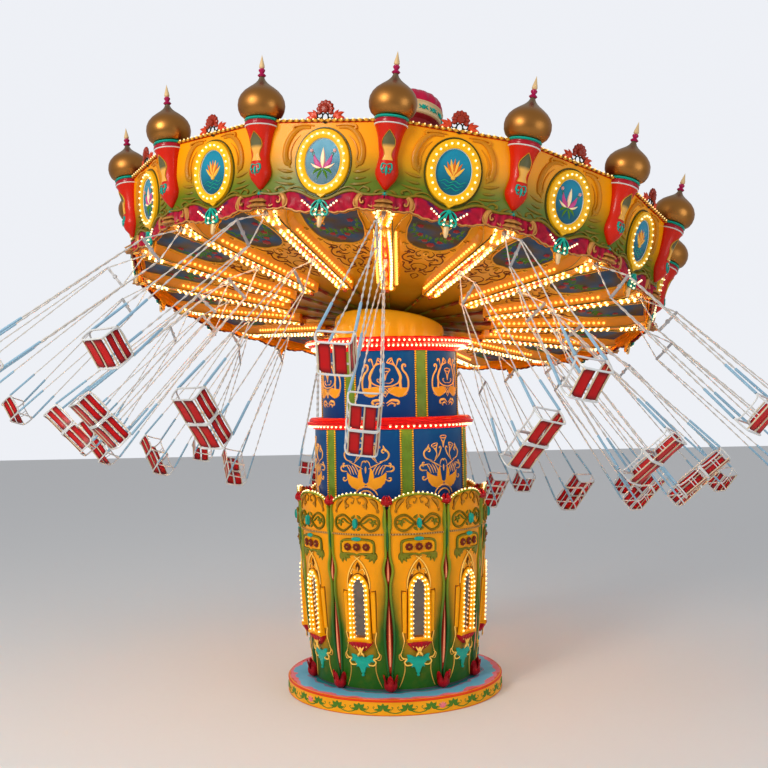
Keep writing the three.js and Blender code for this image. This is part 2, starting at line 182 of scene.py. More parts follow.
def loft(rings, closed=False, shade=0.0):
    """A skin through a row of rings of points. An open row gets a cap at each end."""
    rings = np.asarray(rings, float)
    rows, around = rings.shape[:2]
    i, j = np.meshgrid(np.arange(rows if closed else rows - 1), np.arange(around), indexing="ij")
    following = (i + 1) % rows
    beside = (j + 1) % around
    corners = [(i, j), (i, beside), (following, beside), (following, j)]
    quads = np.stack([row * around + column for row, column in corners], -1)
    points = rings.reshape(-1, 3)
    faces = [quads.reshape(-1, 4)]
    if not closed:
        first = len(points)
        points = np.vstack([points, rings[0].mean(0), rings[-1].mean(0)])
        k = np.arange(around)
        after = (k + 1) % around
        last = (rows - 1) * around
        faces.append(np.stack([after, k, np.full(around, first)], -1))
        faces.append(np.stack([last + k, last + after, np.full(around, first + 1)], -1))
        if np.ndim(shade):
            shade = np.append(np.asarray(shade, float).reshape(-1), [np.ravel(shade)[0], np.ravel(shade)[-1]])
    return Shape().add(points, faces, np.ravel(shade) if np.ndim(shade) else shade)


def lathe(profile, sides=48):
    """A closed or axis-to-axis profile of (radius, height) pairs, turned round the upright axis."""
    profile = np.asarray(profile, float)
    angles = np.arange(sides) * TAU / sides
    rings = np.stack([
        np.outer(profile[:, 0], np.sin(angles)),
        -np.outer(profile[:, 0], np.cos(angles)),
        np.repeat(profile[:, 1:2], sides, 1),
    ], -1)
    closed = bool(np.allclose(profile[0], profile[-1]))
    return loft(rings[:-1] if closed else rings, closed)


def smooth(points, steps=4):
    """A rounded line through the given points."""
    points = np.asarray(points, float)
    padded = np.vstack([2 * points[0] - points[1], points, 2 * points[-1] - points[-2]])
    line = []
    for a, b, c, d in zip(padded, padded[1:], padded[2:], padded[3:]):
        for step in range(steps):
            t = step / steps
            bend = (2 * a - 5 * b + 4 * c - d) * t * t
            twist = (3 * b - a - 3 * c + d) * t ** 3
            line.append(0.5 * (2 * b + (c - a) * t + bend + twist))
    return np.array(line + [points[-1]])


def curl(at, heading, radius, turn, inner=0.22):
    """A scroll that goes on from a point and winds in. A positive turn is to the left."""
    side = math.copysign(1.0, turn)
    normal = side * np.array([-heading[1], heading[0]])
    centre = np.asarray(at) + radius * normal
    steps = max(7, int(abs(turn) * 2.5))
    t = np.linspace(0, 1, steps)[1:]
    angle = math.atan2(-normal[1], -normal[0]) + turn * t
    size = radius * (1 - (1 - inner) * t)
    return stack(centre[0] + size * np.cos(angle), centre[1] + size * np.sin(angle))


def scroll(points, end=None, start=None):
    """A line with a curl, given as (radius, turn), at either end."""
    line = smooth(points)
    if end:
        heading = line[-1] - line[-2]
        line = np.vstack([line, curl(line[-1], heading / np.linalg.norm(heading), *end)])
    if start:
        heading = line[0] - line[1]
        line = np.vstack([curl(line[0], heading / np.linalg.norm(heading), *start)[::-1], line])
    return line


def swell(share, first=0.35, last=0.35):
    """How thick a carved line is along its length."""
    return np.interp(share, [0, 0.3, 0.7, 1], [first, 1, 1, last])


def relief(line, width, height=None, ends=(0.35, 0.35), steps=None, out=0.0, shade=None, profile=None):
    """A raised line on a flat design, rounded above. Its edges are shaded unless a shade is given."""
    line = np.asarray(line, float)
    height = width * 0.5 if height is None else height
    steps = steps or (3 if height > 0.018 else 2)
    along = np.gradient(line, axis=0)
    along /= np.maximum(np.linalg.norm(along, axis=1, keepdims=True), 1e-9)
    across = stack(-along[:, 1], along[:, 0])
    share = np.linspace(0, 1, len(line))
    size = swell(share, *ends) if profile is None else profile(share)
    angles = np.linspace(0, math.pi, steps + 1)
    edge = np.sin(angles) < 0.1
    offset = 0.5 * width * size[:, None] * np.cos(angles)[None, :]
    flat = line[:, None, :] + across[:, None, :] * offset[..., None]
    lift = out + height * size[:, None] * np.where(edge, -0.15, np.sin(angles))[None, :]
    # Shade 1 on the edges: painted shadow where the line meets the surface.
    if shade is None:
        shade = np.tile(edge.astype(float), (len(line), 1))
    return loft(np.concatenate([flat, lift[..., None]], -1), shade=shade)


def ribbon(points, *size, **more):
    """A raised line that is rounded through its points."""
    return relief(smooth(points), *size, **more)


def hook(points, end, *size, **more):
    """A raised line that ends in a curl, given as (radius, turn)."""
    return relief(scroll(points, end), *size, **more)


def both(*shapes):
    """Shapes together with their mirror images."""
    return Shape().join(*shapes).mirrored()


def leaf(base, tip, width, bend=0.0, height=None, out=0.0, shade=None):
    """A pointed leaf on a flat design, bent to one side."""
    base = np.asarray(base, float)
    tip = np.asarray(tip, float)
    side = np.array([base[1] - tip[1], tip[0] - base[0]]) * bend
    t = np.linspace(0, 1, 7)[:, None]
    line = (1 - t) ** 2 * base + 2 * t * (1 - t) * ((base + tip) / 2 + side) + t ** 2 * tip
    shape = lambda s: 0.04 + np.sin(math.pi * s ** 0.75) ** 0.9
    return relief(line, width, height or width * 0.3, out=out, shade=shade, profile=shape)


def plate(outline, low, high, bevel=0.0):
    """A flat plate with a given outline and a rounded edge."""
    outline = np.asarray(outline, float)
    before = outline - np.roll(outline, 1, 0)
    after = np.roll(outline, -1, 0) - outline
    normal = stack(before[:, 1] + after[:, 1], -before[:, 0] - after[:, 0])
    normal /= np.maximum(np.linalg.norm(normal, axis=1, keepdims=True), 1e-9)
    x, y = outline.T
    area = 0.5 * np.sum(x * np.roll(y, -1) - np.roll(x, -1) * y)
    inset = outline - normal * bevel * math.copysign(1.0, area)
    levels = [(outline, low), (outline, high - bevel)]
    if bevel:
        levels.append((inset, high))
    count = len(outline)
    points = np.vstack([stack(flat, level) for flat, level in levels])
    k = np.arange(count)
    after = (k + 1) % count
    walls = []
    for below in np.arange(len(levels) - 1) * count:
        above = below + count
        walls.append(np.stack([below + k, below + after, above + after, above + k], -1))
    top = np.array(tessellate_polygon([[Vector((x, y, 0)) for x, y in levels[-1][0]]]))
    cap = (len(levels) - 1) * count
    return Shape().add(points, walls + [top + cap, top[:, ::-1]])


def tube(line, radius, sides=6, closed=False, shade=0.0):
    """A round tube along a line in space."""
    line = np.asarray(line, float)
    along = np.roll(line, -1, 0) - np.roll(line, 1, 0) if closed else np.gradient(line, axis=0)
    along /= np.maximum(np.linalg.norm(along, axis=1, keepdims=True), 1e-9)
    start = np.array([0.0, 0.0, 1.0]) if abs(along[0][2]) < 0.9 else np.array([1.0, 0.0, 0.0])
    normals = []
    for direction in along:
        start = start - direction * start.dot(direction)
        start /= np.linalg.norm(start)
        normals.append(start)
    normals = np.array(normals)
    others = np.cross(along, normals)
    angles = np.arange(sides) * TAU / sides
    size = np.broadcast_to(np.asarray(radius, float), (len(line),))[:, None, None]
    cos = np.cos(angles)[None, :, None]
    sin = np.sin(angles)[None, :, None]
    rings = line[:, None, :] + size * (normals[:, None, :] * cos + others[:, None, :] * sin)
    return loft(rings, closed, shade)


def arc(centre, radius_x, radius_y, start, turn, steps=16):
    angle = start + np.linspace(0, 1, steps + 1) * turn
    return stack(centre[0] + radius_x * np.cos(angle), centre[1] + radius_y * np.sin(angle))


def disc_plate(centre, radius, low, high, petals=0, depth=0.0, sides=24, shade=0.0):
    """A domed rosette, with a wavy rim if it has petals."""
    angle = np.arange(sides) * TAU / sides
    rim = radius * (1 + depth * np.cos(petals * angle))
    levels = [(1.0, low), (1.0, (low + high) / 2), (0.8, high * 0.92), (0.42, high)]
    rings = []
    for k, level in levels:
        rings.append(stack(centre[0] + rim * k * np.cos(angle), centre[1] + rim * k * np.sin(angle), level))
    return loft(rings, shade=shade)


def collar(inner, outer, low, high, sides):
    """A ring of rectangular section round the upright axis."""
    return lathe([(inner, low), (outer, low), (outer, high), (inner, high), (inner, low)], sides)


def bulb_shape(radius):
    ball = bmesh.new()
    bmesh.ops.create_icosphere(ball, subdivisions=1, radius=radius)
    points = np.array([v.co[:] for v in ball.verts])
    faces = np.array([[v.index for v in f.verts] for f in ball.faces])
    ball.free()
    return points, faces


def bulbs(places, radius=0.022):
    """Round bulbs at the given places."""
    places = np.asarray(places, float).reshape(-1, 3)
    ball, faces = bulb_shape(radius)
    points = (places[:, None, :] + ball[None, :, :]).reshape(-1, 3)
    index = (np.arange(len(places)) * len(ball))[:, None, None] + faces[None]
    return Shape().add(points, [index.reshape(-1, 3)])


def spaced(line, gap):
    """Points along a line at about the given spacing."""
    line = np.asarray(line, float)
    length = np.concatenate([[0], np.cumsum(np.linalg.norm(np.diff(line, axis=0), axis=1))])
    wanted = np.linspace(0, length[-1], max(2, int(round(length[-1] / gap)) + 1))
    return np.column_stack([np.interp(wanted, length, line[:, k]) for k in range(line.shape[1])])


def rope(line, radius, pitch):
    """A twisted rope moulding along a line in space, darker in its turns."""
    beads = spaced(line, pitch)
    thick = np.arange(len(beads)) % 2
    # The thin necks between the beads take the dark second colour: painted shade in the grooves.
    shade = np.repeat((1.0 - thick)[:, None], 6, 1)
    return tube(beads, np.where(thick, radius, radius * 0.55), 6, shade=shade)


# Surfaces that flat designs are laid on

def barrel_radius(height):
    share = np.clip((np.asarray(height, float) - PLINTH_TOP) / (BARREL_SHOULDER - PLINTH_TOP), 0, 1)
    return BARREL_FOOT + BARREL_FLARE * (1 - (1 - share) ** 1.7)


def on_barrel(points):
    radius = barrel_radius(points[:, 1])
    return round_axis(radius + points[:, 2], points[:, 0] / radius, points[:, 1])


def on_drum(radius):
    return lambda p: round_axis(radius + p[:, 2], p[:, 0] / radius, p[:, 1])


def corner_radius(height):
    return BOARD_RADIUS + SPLAY * (height - MEDALLION_HEIGHT)


def on_board(points):
    """The middle of a rounding board, at the front. Up is the height in the canopy's frame."""
    lean = SPLAY * math.cos(BAY / 2)
    size = math.hypot(1, lean)
    out = corner_radius(points[:, 1]) * math.cos(BAY / 2) + points[:, 2] / size
    return stack(points[:, 0], -out, points[:, 1] - points[:, 2] * lean / size)


def ceiling_height(radius):
    return CEILING_INNER + CEILING_SLOPE * (np.asarray(radius, float) - HUB_RADIUS)


def sweep_bottom(radius):
    return np.interp(radius, [SWEEP_INNER, SWEEP_OUTER - 0.35, SWEEP_OUTER],
        [0.320, ceiling_height(SWEEP_OUTER) - 0.19, ceiling_height(SWEEP_OUTER) - 0.11])


def under_sweep(points):
    """The underside of the front sweep. Up is the distance from the spinning axis."""
    return stack(points[:, 0], -points[:, 1], sweep_bottom(points[:, 1]) - points[:, 2])


# Materials

BULB_LIGHT = 22.0
SHADE_LAYER = "shade"


def srgb(code):
    """A colour in linear light, from a hexadecimal number or as it was chosen in the settings."""
    if not isinstance(code, int):
        return tuple(code)
    parts = [((code >> shift) & 255) / 255 for shift in (16, 8, 0)]
    return tuple(c / 12.92 if c < 0.04045 else ((c + 0.055) / 1.055) ** 2.4 for c in parts) + (1.0,)


def feed(sockets, values):
    """Gives each socket its value, or links it to another node's output."""
    for key, value in values.items():
        if isinstance(value, bpy.types.NodeSocket):
            value.id_data.links.new(value, sockets[key])
        else:
            sockets[key].default_value = value


def add_node(nodes, kind, inputs=None, **settings):
    """A shader node. Its settings come before its inputs, because they decide which sockets it has."""
    node = nodes.new("ShaderNode" + kind)
    for name, value in settings.items():
        setattr(node, name, value)
    feed(node.inputs, inputs or {})
    return node


def maths(nodes, operation, *values, clamp=False):
    """The result of a sum whose terms are numbers or other nodes' outputs."""
    return add_node(nodes, "Math", dict(enumerate(values)), operation=operation, use_clamp=clamp).outputs[0]


def mixed(nodes, factor, first, second, blend="MIX"):
    """Two colours blended into one."""
    inputs = {"Factor": factor, "A": first, "B": second}
    return add_node(nodes, "Mix", inputs, data_type="RGBA", blend_type=blend).outputs["Result"]


def object_place(nodes):
    return add_node(nodes, "TexCoord").outputs["Object"]


def new_group(name, inputs, outputs):
    """A shader node group with its inputs' defaults. A default of four numbers is a colour."""
    group = bpy.data.node_groups.new(name, "ShaderNodeTree")
    for label, default in inputs.items():
        kind = "NodeSocketColor" if isinstance(default, tuple) else "NodeSocketFloat"
        group.interface.new_socket(label, in_out="INPUT", socket_type=kind).default_value = default
    for label in outputs:
        kind = "NodeSocketColor" if label == "Color" else "NodeSocketFloat"
        group.interface.new_socket(label, in_out="OUTPUT", socket_type=kind)
    nodes = group.nodes
    return nodes, nodes.new("NodeGroupInput").outputs, nodes.new("NodeGroupOutput").inputs


def placed(nodes, group, inputs):
    """A node group placed in a material, as its outputs."""
    return add_node(nodes, "Group", inputs, node_tree=bpy.data.node_groups[group]).outputs


def aged_paint_group():
    """Paint that has stood outside: soft blotches, fine speckle and a little dust in its low places."""
    inputs = {"Color": (0.8, 0.8, 0.8, 1), "Grime": 0.2, "Scale": 3.0, "Roughness": 0.4}
    nodes, given, result = new_group("Aged paint", inputs, ["Color", "Roughness", "Height"])
    place = object_place(nodes)
    finer = maths(nodes, "MULTIPLY", given["Scale"], 22.0)
    blotch = add_node(nodes, "TexNoise", {"Vector": place, "Scale": given["Scale"], "Detail": 5.0})
    speckle = add_node(nodes, "TexNoise", {"Vector": place, "Scale": finer, "Detail": 2.0})
    spread = {"Value": blotch.outputs["Fac"], "From Min": 0.38, "From Max": 0.72}
    spread = add_node(nodes, "MapRange", spread).outputs["Result"]
    strength = maths(nodes, "MULTIPLY", spread, given["Grime"])
    feed(result, {
        "Color": mixed(nodes, strength, given["Color"], (0.62, 0.55, 0.47, 1), "MULTIPLY"),
        "Roughness": maths(nodes, "MULTIPLY_ADD", spread, 0.25, given["Roughness"]),
        "Height": speckle.outputs["Fac"],
    })


def two_colours_group():
    """Blends two colours by the shade that is stored on a piece, with a sprayed edge between them."""
    inputs = {"First": (0.8, 0.5, 0.1, 1), "Second": (0.1, 0.4, 0.1, 1), "Shade": 0.0}
    nodes, given, result = new_group("Sprayed blend", inputs, ["Color"])
    noise = add_node(nodes, "TexNoise", {"Vector": object_place(nodes), "Scale": 5.0}).outputs["Fac"]
    waver = maths(nodes, "MULTIPLY_ADD", noise, 0.16, -0.08)
    total = maths(nodes, "ADD", waver, given["Shade"], clamp=True)
    feed(result, {"Color": mixed(nodes, total, given["First"], given["Second"])})


def rubbed_edge_and_hollow_shade_group():
    """Lightens raised edges, where paint or gilding is rubbed, and darkens hollows."""
    nodes, given, result = new_group("Rubbed edges and painted hollow shade", {"Color": (0.8, 0.8, 0.8, 1), "Amount": 0.4}, ["Color"])
    edges = add_node(nodes, "NewGeometry").outputs["Pointiness"]
    # Low pointiness, in hollows and creases, multiplies the colour down: painted shade. High pointiness on
    # raised edges lightens it: rubbed wear.
    spread = {"Value": edges, "From Min": 0.42, "From Max": 0.58, "To Min": 0.45, "To Max": 1.5}
    spread = add_node(nodes, "MapRange", spread).outputs["Result"]
    feed(result, {"Color": mixed(nodes, given["Amount"], given["Color"], spread, "MULTIPLY")})


def new_material(name):
    """A material, its nodes and the sockets of its surface."""
    made = bpy.data.materials.new(name)
    made.use_nodes = True
    nodes = made.node_tree.nodes
    return made, nodes, nodes["Principled BSDF"].inputs


def paint(name, colour, second=None, rough=0.35, metal=0.0, coat=0.25, grime=0.25, scale=1.6, bump=0.06,
        wear_and_hollow_shade=0.0):
    """A painted finish. A second colour shows where the piece's shade is 1."""
    made, nodes, surface = new_material(name)
    colour = srgb(colour)
    made.diffuse_color = colour
    if second is not None:
        stored = add_node(nodes, "Attribute", attribute_name=SHADE_LAYER).outputs["Fac"]
        blend = {"First": colour, "Second": srgb(second), "Shade": stored}
        colour = placed(nodes, "Sprayed blend", blend)["Color"]
    aged = placed(nodes, "Aged paint", {"Color": colour, "Grime": grime, "Scale": scale, "Roughness": rough})
    seen = aged["Color"]
    # Rubbed edges are lightened, and hollows are darkened with painted shade.
    if wear_and_hollow_shade:
        seen = placed(nodes, "Rubbed edges and painted hollow shade", {"Color": seen, "Amount": wear_and_hollow_shade})["Color"]
    dent = add_node(nodes, "Bump", {"Height": aged["Height"], "Strength": bump, "Distance": 0.01})
    feed(surface, {
        "Base Color": seen, "Roughness": aged["Roughness"], "Metallic": metal, "Normal": dent.outputs[0],
        "Coat Weight": coat * 0.5, "Coat Roughness": 0.12, "Specular IOR Level": 0.16,
    })
    return made


def glowing(name, colour, glow, seen, cast):
    """A lit bulb. It looks only as bright as a photograph can hold, and casts more light than that."""
    made, nodes, surface = new_material(name)
    camera = add_node(nodes, "LightPath").outputs["Is Camera Ray"]
    feed(surface, {
        "Base Color": srgb(colour), "Roughness": 0.25, "Emission Color": glow,
        "Emission Strength": maths(nodes, "MULTIPLY_ADD", camera, seen - cast, cast),
    })
    return made


def plinth_top_paint():
    """Pale blue with teal waves inside a pink band, painted round the plinth."""
    made = paint("Plinth top paint", 0x6FB6C8, rough=0.4, coat=0.2, grime=0.3)
    nodes = made.node_tree.nodes
    aged = next(n for n in nodes if n.type == "GROUP")
    place = object_place(nodes)
    parts = add_node(nodes, "SeparateXYZ", {"Vector": place}).outputs
    flat = add_node(nodes, "VectorMath", {0: place, 1: (1, 1, 0)}, operation="MULTIPLY").outputs["Vector"]
    radius = add_node(nodes, "VectorMath", {0: flat}, operation="LENGTH").outputs["Value"]
    turn = maths(nodes, "MULTIPLY", maths(nodes, "ARCTAN2", parts["Y"], parts["X"]), 22.0)
    waves = maths(nodes, "MULTIPLY", maths(nodes, "SINE", turn), 0.025)
    noise = add_node(nodes, "TexNoise", {"Vector": place, "Scale": 3.2}).outputs["Fac"]
    sway = maths(nodes, "ADD", waves, maths(nodes, "MULTIPLY_ADD", noise, 0.26, -0.13))
    spread = {"Value": maths(nodes, "ADD", sway, radius), "From Min": 1.55, "From Max": PLINTH_RADIUS}
    share = add_node(nodes, "MapRange", spread).outputs["Result"]
    ramp = add_node(nodes, "ValToRGB", {"Fac": share})
    elements = ramp.color_ramp.elements
    ramp.color_ramp.interpolation = "CONSTANT"
    bands = [(0.0, 0x108C90), (0.24, 0xA07CA0), (0.32, 0x6CBEE0), (0.78, 0xF27A88), (0.94, 0xEE5A30)]
    elements[1].position = bands[1][0]
    for element, (_, colour) in zip(elements, bands):
        element.color = srgb(colour)
    for position, colour in bands[2:]:
        elements.new(position).color = srgb(colour)
    feed(aged.inputs, {"Color": ramp.outputs["Color"]})
    return made


def make_materials():
    """Every finish, by the plain name that the pieces use."""
    aged_paint_group()
    two_colours_group()
    rubbed_edge_and_hollow_shade_group()
    chosen = bpy.context.scene.ride_settings
    return {
        "plinth": paint("Plinth paint", chosen.plinth_colour, rough=0.42, coat=0.15, grime=0.3),
        "red_line": paint("Plinth edging", 0xE2400E, rough=0.42, coat=0.15, grime=0.3),
        "blossom": paint("Blossom pink", 0xD8707C, rough=0.45, wear_and_hollow_shade=0.5, scale=6.0),
        "plinth_top": plinth_top_paint(),
        # second colour: the leaves' darker tone, and painted shadow on the edges of raised lines
        "vine": paint("Vine green", 0x55801E, 0x2F6A22, rough=0.5, grime=0.3, wear_and_hollow_shade=0.3),
        "panel": paint("Barrel enamel", chosen.panel_colour, 0x245E10, rough=0.32, coat=0.2, grime=0.2,
            scale=1.1),
        "border": paint("Border green", 0x7C8A1C, 0x1F5A2A, rough=0.35, coat=0.3, wear_and_hollow_shade=0.45),
        # second colour: painted shadow on the edges of raised lines
        "scroll_green": paint("Scroll green", 0x6E6E16, 0x2A3408, rough=0.38, wear_and_hollow_shade=0.7, grime=0.35),
        # second colour: painted shadow on the edges of raised lines and in the grooves of the ropes
        "gold": paint("Gilding", 0xDDA02C, 0x5A3004, rough=0.34, metal=0.3, coat=0.2, wear_and_hollow_shade=0.75, scale=4.0),
        # second colour: painted shadow on the edges of raised lines
        "old_gold": paint("Old gilding", 0xA8741C, 0x3E2404, rough=0.42, metal=0.3, coat=0.15, wear_and_hollow_shade=0.7,
            scale=4.0, grime=0.4),
        "gold_paint": paint("Gold paint", 0xE6B26A, 0xE89A14, rough=0.38, coat=0.2, wear_and_hollow_shade=0.2, scale=4.0),
        "amber": paint("Window frame amber", 0xFCAA00, rough=0.3, coat=0.2, scale=4.0),
        "red": paint("Signal red", 0xDC0A04, rough=0.3, coat=0.2, scale=3.0, grime=0.15),
        "dark_red": paint("Oxblood red", 0x7E1118, rough=0.35, coat=0.3, wear_and_hollow_shade=0.5, scale=4.0),
        "salmon": paint("Salmon pink", 0xA02410, 0xFA9A70, rough=0.4, coat=0.1),
        "rust": paint("Rosette rust", 0x6A1E04, rough=0.4, wear_and_hollow_shade=0.6, scale=6.0),
        # second colour: painted shade in the rope's grooves
        "cord": paint("Cord with painted groove shade", 0xE0B060, 0x5A3008, rough=0.45, scale=6.0),
        # second colour: painted shadow on the edges of raised lines
        "bright_gold": paint("Bright gilding", 0xF8C458, 0x5A3404, rough=0.36, metal=0.1, coat=0.1, wear_and_hollow_shade=0.6,
            scale=4.0),
        "tulip": paint("Tulip red", 0x9A0410, rough=0.26, coat=0.3, wear_and_hollow_shade=0.6, scale=5.0, grime=0.15),
        "bracket_red": paint("Bracket red", 0xA40C20, rough=0.3, coat=0.2, wear_and_hollow_shade=0.8, scale=5.0),
        # second colour: painted shadow on the edges of raised lines
        "teal": paint("Teal enamel", 0x0EA08C, 0x06505C, rough=0.3, coat=0.4, wear_and_hollow_shade=0.35, scale=4.0),
        "blue": paint("Royal blue enamel", chosen.tier_colour, 0x005888, rough=0.28, coat=0.1, grime=0.2,
            scale=1.2),
        "post": paint("Post green", 0x6A8A24, rough=0.45, grime=0.5, scale=7.0, bump=0.3),
        # second colour: painted shade in the rope's grooves
        "rope_yellow": paint("Rope yellow", 0xF8BC20, 0x6A4206, rough=0.4, wear_and_hollow_shade=0.4, scale=6.0),
        "drum": paint("Drum yellow", 0xFCB41A, rough=0.2, coat=0.5, grime=0.12),
        "board": paint("Board enamel", chosen.board_colour, 0x5E7416, rough=0.32, coat=0.2, grime=0.15,
            scale=0.9),
        "board_carving": paint("Board carving", 0xB8720C, 0x6A5A12, rough=0.36, coat=0.15, wear_and_hollow_shade=1.0,
            scale=3.0, grime=0.3),
        "flame": paint("Column red", 0xCE1E02, rough=0.28, coat=0.4, grime=0.2, scale=2.0),
        "ring_yellow": paint("Medallion yellow", 0xF7B80E, rough=0.3, coat=0.4, scale=3.0),
        "sea": paint("Medallion blue", 0x1588A8, 0x0C5C74, rough=0.3, coat=0.4, grime=0.3, scale=5.0),
        # second colour: painted reflection of the sky on the domes' tops
        "bronze": paint("Dome bronze", chosen.dome_colour, 0x948468, rough=0.3, metal=1.0, coat=0.0,
            grime=0.3, scale=1.8),
        "magenta": paint("Magenta enamel", 0xA80E4C, rough=0.25, coat=0.5),
        "crown": paint("Crown crimson", 0xB80C3C, rough=0.3, coat=0.4, wear_and_hollow_shade=0.4, scale=3.0),
        "spire": paint("Spire cream", 0xE2C08C, 0xF0E2C4, rough=0.35, metal=0.2, coat=0.3),
        "niche": paint("Niche grey", 0x5E5C3C, 0xF0B050, rough=0.5, grime=0.3, scale=6.0),
        "orange_leaf": paint("Leaf orange", 0xD04420, 0x8A1C14, rough=0.35, wear_and_hollow_shade=0.5, scale=5.0),
        "white": paint("Worn white", 0xD9D8D2, rough=0.4, scale=5.0),
        "ink": paint("Dark ironwork", 0x1E2A22, rough=0.4, wear_and_hollow_shade=0.5, scale=6.0),
        "burgundy": paint("Drapery burgundy", 0xA20A2A, 0x301A4A, rough=0.42, coat=0.1, wear_and_hollow_shade=0.9, scale=2.5),
        # second colour: painted shadow on the edges of raised lines
        "edge_gold": paint("Drapery gilding", 0xB07A3C, 0x54200E, rough=0.4, metal=0.2, wear_and_hollow_shade=0.7, scale=5.0),
        "cheek": paint("Sweep orange", 0xFC9C04, rough=0.14, coat=0.8, grime=0.1),
        "tie": paint("Tie red and green", 0x7A2A08, 0x6A6A14, rough=0.4, wear_and_hollow_shade=0.5, scale=5.0),
        # second colour: painted shadow on the edges of the petals
        "crest_red": paint("Rose red brown", 0x8A2C1C, 0x3E100A, rough=0.3, coat=0.4, wear_and_hollow_shade=0.85, scale=5.0),
        "flange": paint("Flange crimson", 0xA80C20, rough=0.25, coat=0.5),
        "motif": paint("Shell gold", 0xE8B040, 0xC86418, rough=0.4, wear_and_hollow_shade=0.5, scale=6.0),
        "lily": paint("Lily cream", 0xF0D8A8, 0xB8407C, rough=0.4, wear_and_hollow_shade=0.5, scale=6.0),
        "olive_line": paint("Olive edging", 0x4C4A12, rough=0.35, coat=0.3, scale=4.0),
        "hot": paint("Sweep red", 0xE4480E, 0xF2A01A, rough=0.25, coat=0.5),
        "ceiling": paint("Ceiling bronze", 0xF0A00C, 0x8A680E, rough=0.28, coat=0.25, grime=0.25, scale=1.4),
        "arabesque": paint("Arabesque brown", 0x6A2408, rough=0.4),
        # painted shadow at the foot of the window frame and the pilasters, and in the hollows under the arch
        "outline": paint("Painted shadow brown", 0x7A4206, rough=0.5),
        "night": paint("Soffit panel", 0x1A5078, 0x5A4418, rough=0.4, coat=0.1, grime=0.4, scale=2.0),
        "soffit_rose": paint("Blossom red", 0x9A2A2A, rough=0.4, wear_and_hollow_shade=0.6, scale=6.0),
        # partly the drapery's own colour and partly painted warm light from the bulbs
        "fringe": paint("Orange drapery back with painted bulb light", 0xFC9408, 0xD86E08, rough=0.4, wear_and_hollow_shade=0.3),
        "canvas": paint("Roof canvas", chosen.canvas_colour, chosen.stripe_colour, rough=0.85, coat=0.0,
            grime=0.5, scale=0.6, bump=0.4),
        "canvas_seam": paint("Canvas binding", 0xB8A67A, rough=0.85, coat=0.0, grime=0.5, scale=2.0,
            bump=0.4),
        "steel": paint("Machine grey", 0x5A6064, rough=0.45, metal=0.6, coat=0.0, grime=0.5, scale=4.0),
        "tube_white": paint("Chair white", 0xDADCDC, rough=0.3, metal=0.1, coat=0.5, grime=0.2, scale=8.0),
        # second colour: painted shade on the rims of the seat panels
        "seat": paint("Seat red", chosen.seat_colour, 0x6A0408, rough=0.34, coat=0.25, grime=0.15, scale=8.0),
        "rail": paint("Rail beige", 0xD8C8A8, rough=0.4, grime=0.3, scale=8.0),
        "sleeve": paint("Sleeve blue", 0x93BAD4, rough=0.5, coat=0.1, grime=0.3, scale=9.0),
        "chain": paint("Galvanised chain", 0xDCDAD6, rough=0.4, metal=0.35, coat=0.0, grime=0.3, scale=20.0),
        "spreader": paint("Spreader grey", 0xA9A9AC, rough=0.42, metal=0.3, coat=0.1, grime=0.3, scale=9.0),
        "mirror": paint("Mirror glass", 0x7C746E, rough=0.06, metal=1.0, coat=0.0, grime=0.5, scale=6.0,
            bump=0.01),
        "bulb": glowing("Warm bulb", 0xFFE9C0, (1.0, 0.66, 0.3, 1), 2.4, BULB_LIGHT),
        "tower_bulb": glowing("Barrel bulb", 0xFFE9C0, (1.0, 0.7, 0.36, 1), 1.7, 6.0),
        "small_bulb": glowing("Small warm bulb", 0xFFDCA0, (1.0, 0.6, 0.22, 1), 1.1, 2.0),
        "pale_bulb": glowing("Pale bulb", 0xFFF0C8, (1.0, 0.8, 0.45, 1), 1.25, 2.5),
        "dim_bulb": glowing("Dim warm bulb", 0xE8A040, (1.0, 0.56, 0.1, 1), 1.7, 3.0),
    }


FINISH = {}


# Pieces

def build_mesh(name, shape, flat_angle):
    points = np.vstack([p for p, _, _ in shape.parts])
    shades = np.concatenate([s for _, _, s in shape.parts])
    faces = []
    first = 0
    for part, groups, _ in shape.parts:
        for group in groups:
            faces += (group + first).tolist()
        first += len(part)
    mesh = bpy.data.meshes.new(name)
    mesh.from_pydata(points.tolist(), [], faces)
    kept = bmesh.new()
    kept.from_mesh(mesh)
    layer = kept.verts.layers.float.new(SHADE_LAYER)
    for vertex, shade in zip(kept.verts, shades):
        vertex[layer] = float(min(1.0, max(0.0, shade)))
    bmesh.ops.recalc_face_normals(kept, faces=kept.faces)
    kept.to_mesh(mesh)
    kept.free()
    mesh.shade_smooth()
    mesh.set_sharp_from_angle(angle=math.radians(flat_angle))
    return mesh


def piece(name, shape, finish, body, place=None, replaces=(), flat_angle=38):
    """One piece of the ride: a mesh with a finish, that rides on a body."""
    mesh = shape if isinstance(shape, bpy.types.Mesh) else build_mesh(name, shape, flat_angle)
    if not mesh.materials:
        mesh.materials.append(FINISH[finish])
    made = bpy.data.objects.new(name, mesh)
    bpy.context.scene.collection.objects.link(made)
    if place is not None:
        made.matrix_world = place
    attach(made, body)
    if replaces:
        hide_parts(*replaces)
    return made


def canopy_piece(name, shape, finish, replaces=(), flat_angle=38):
    return piece(name, shape, finish, "canopy", CANOPY, replaces, flat_angle)


def every_bay(shape, offset=0.0):
    """Copies of a front piece, one at each column, or half a bay on with an offset of 0.5."""
    return shape.around(BAYS, BAY_PHASE + offset * BAY)


def repaint(node, finish):
    """Gives a carried-over solid its finish."""
    mesh = frame["nodes"][node].data
    mesh.materials.clear()
    mesh.materials.append(FINISH[finish])


# Plinth

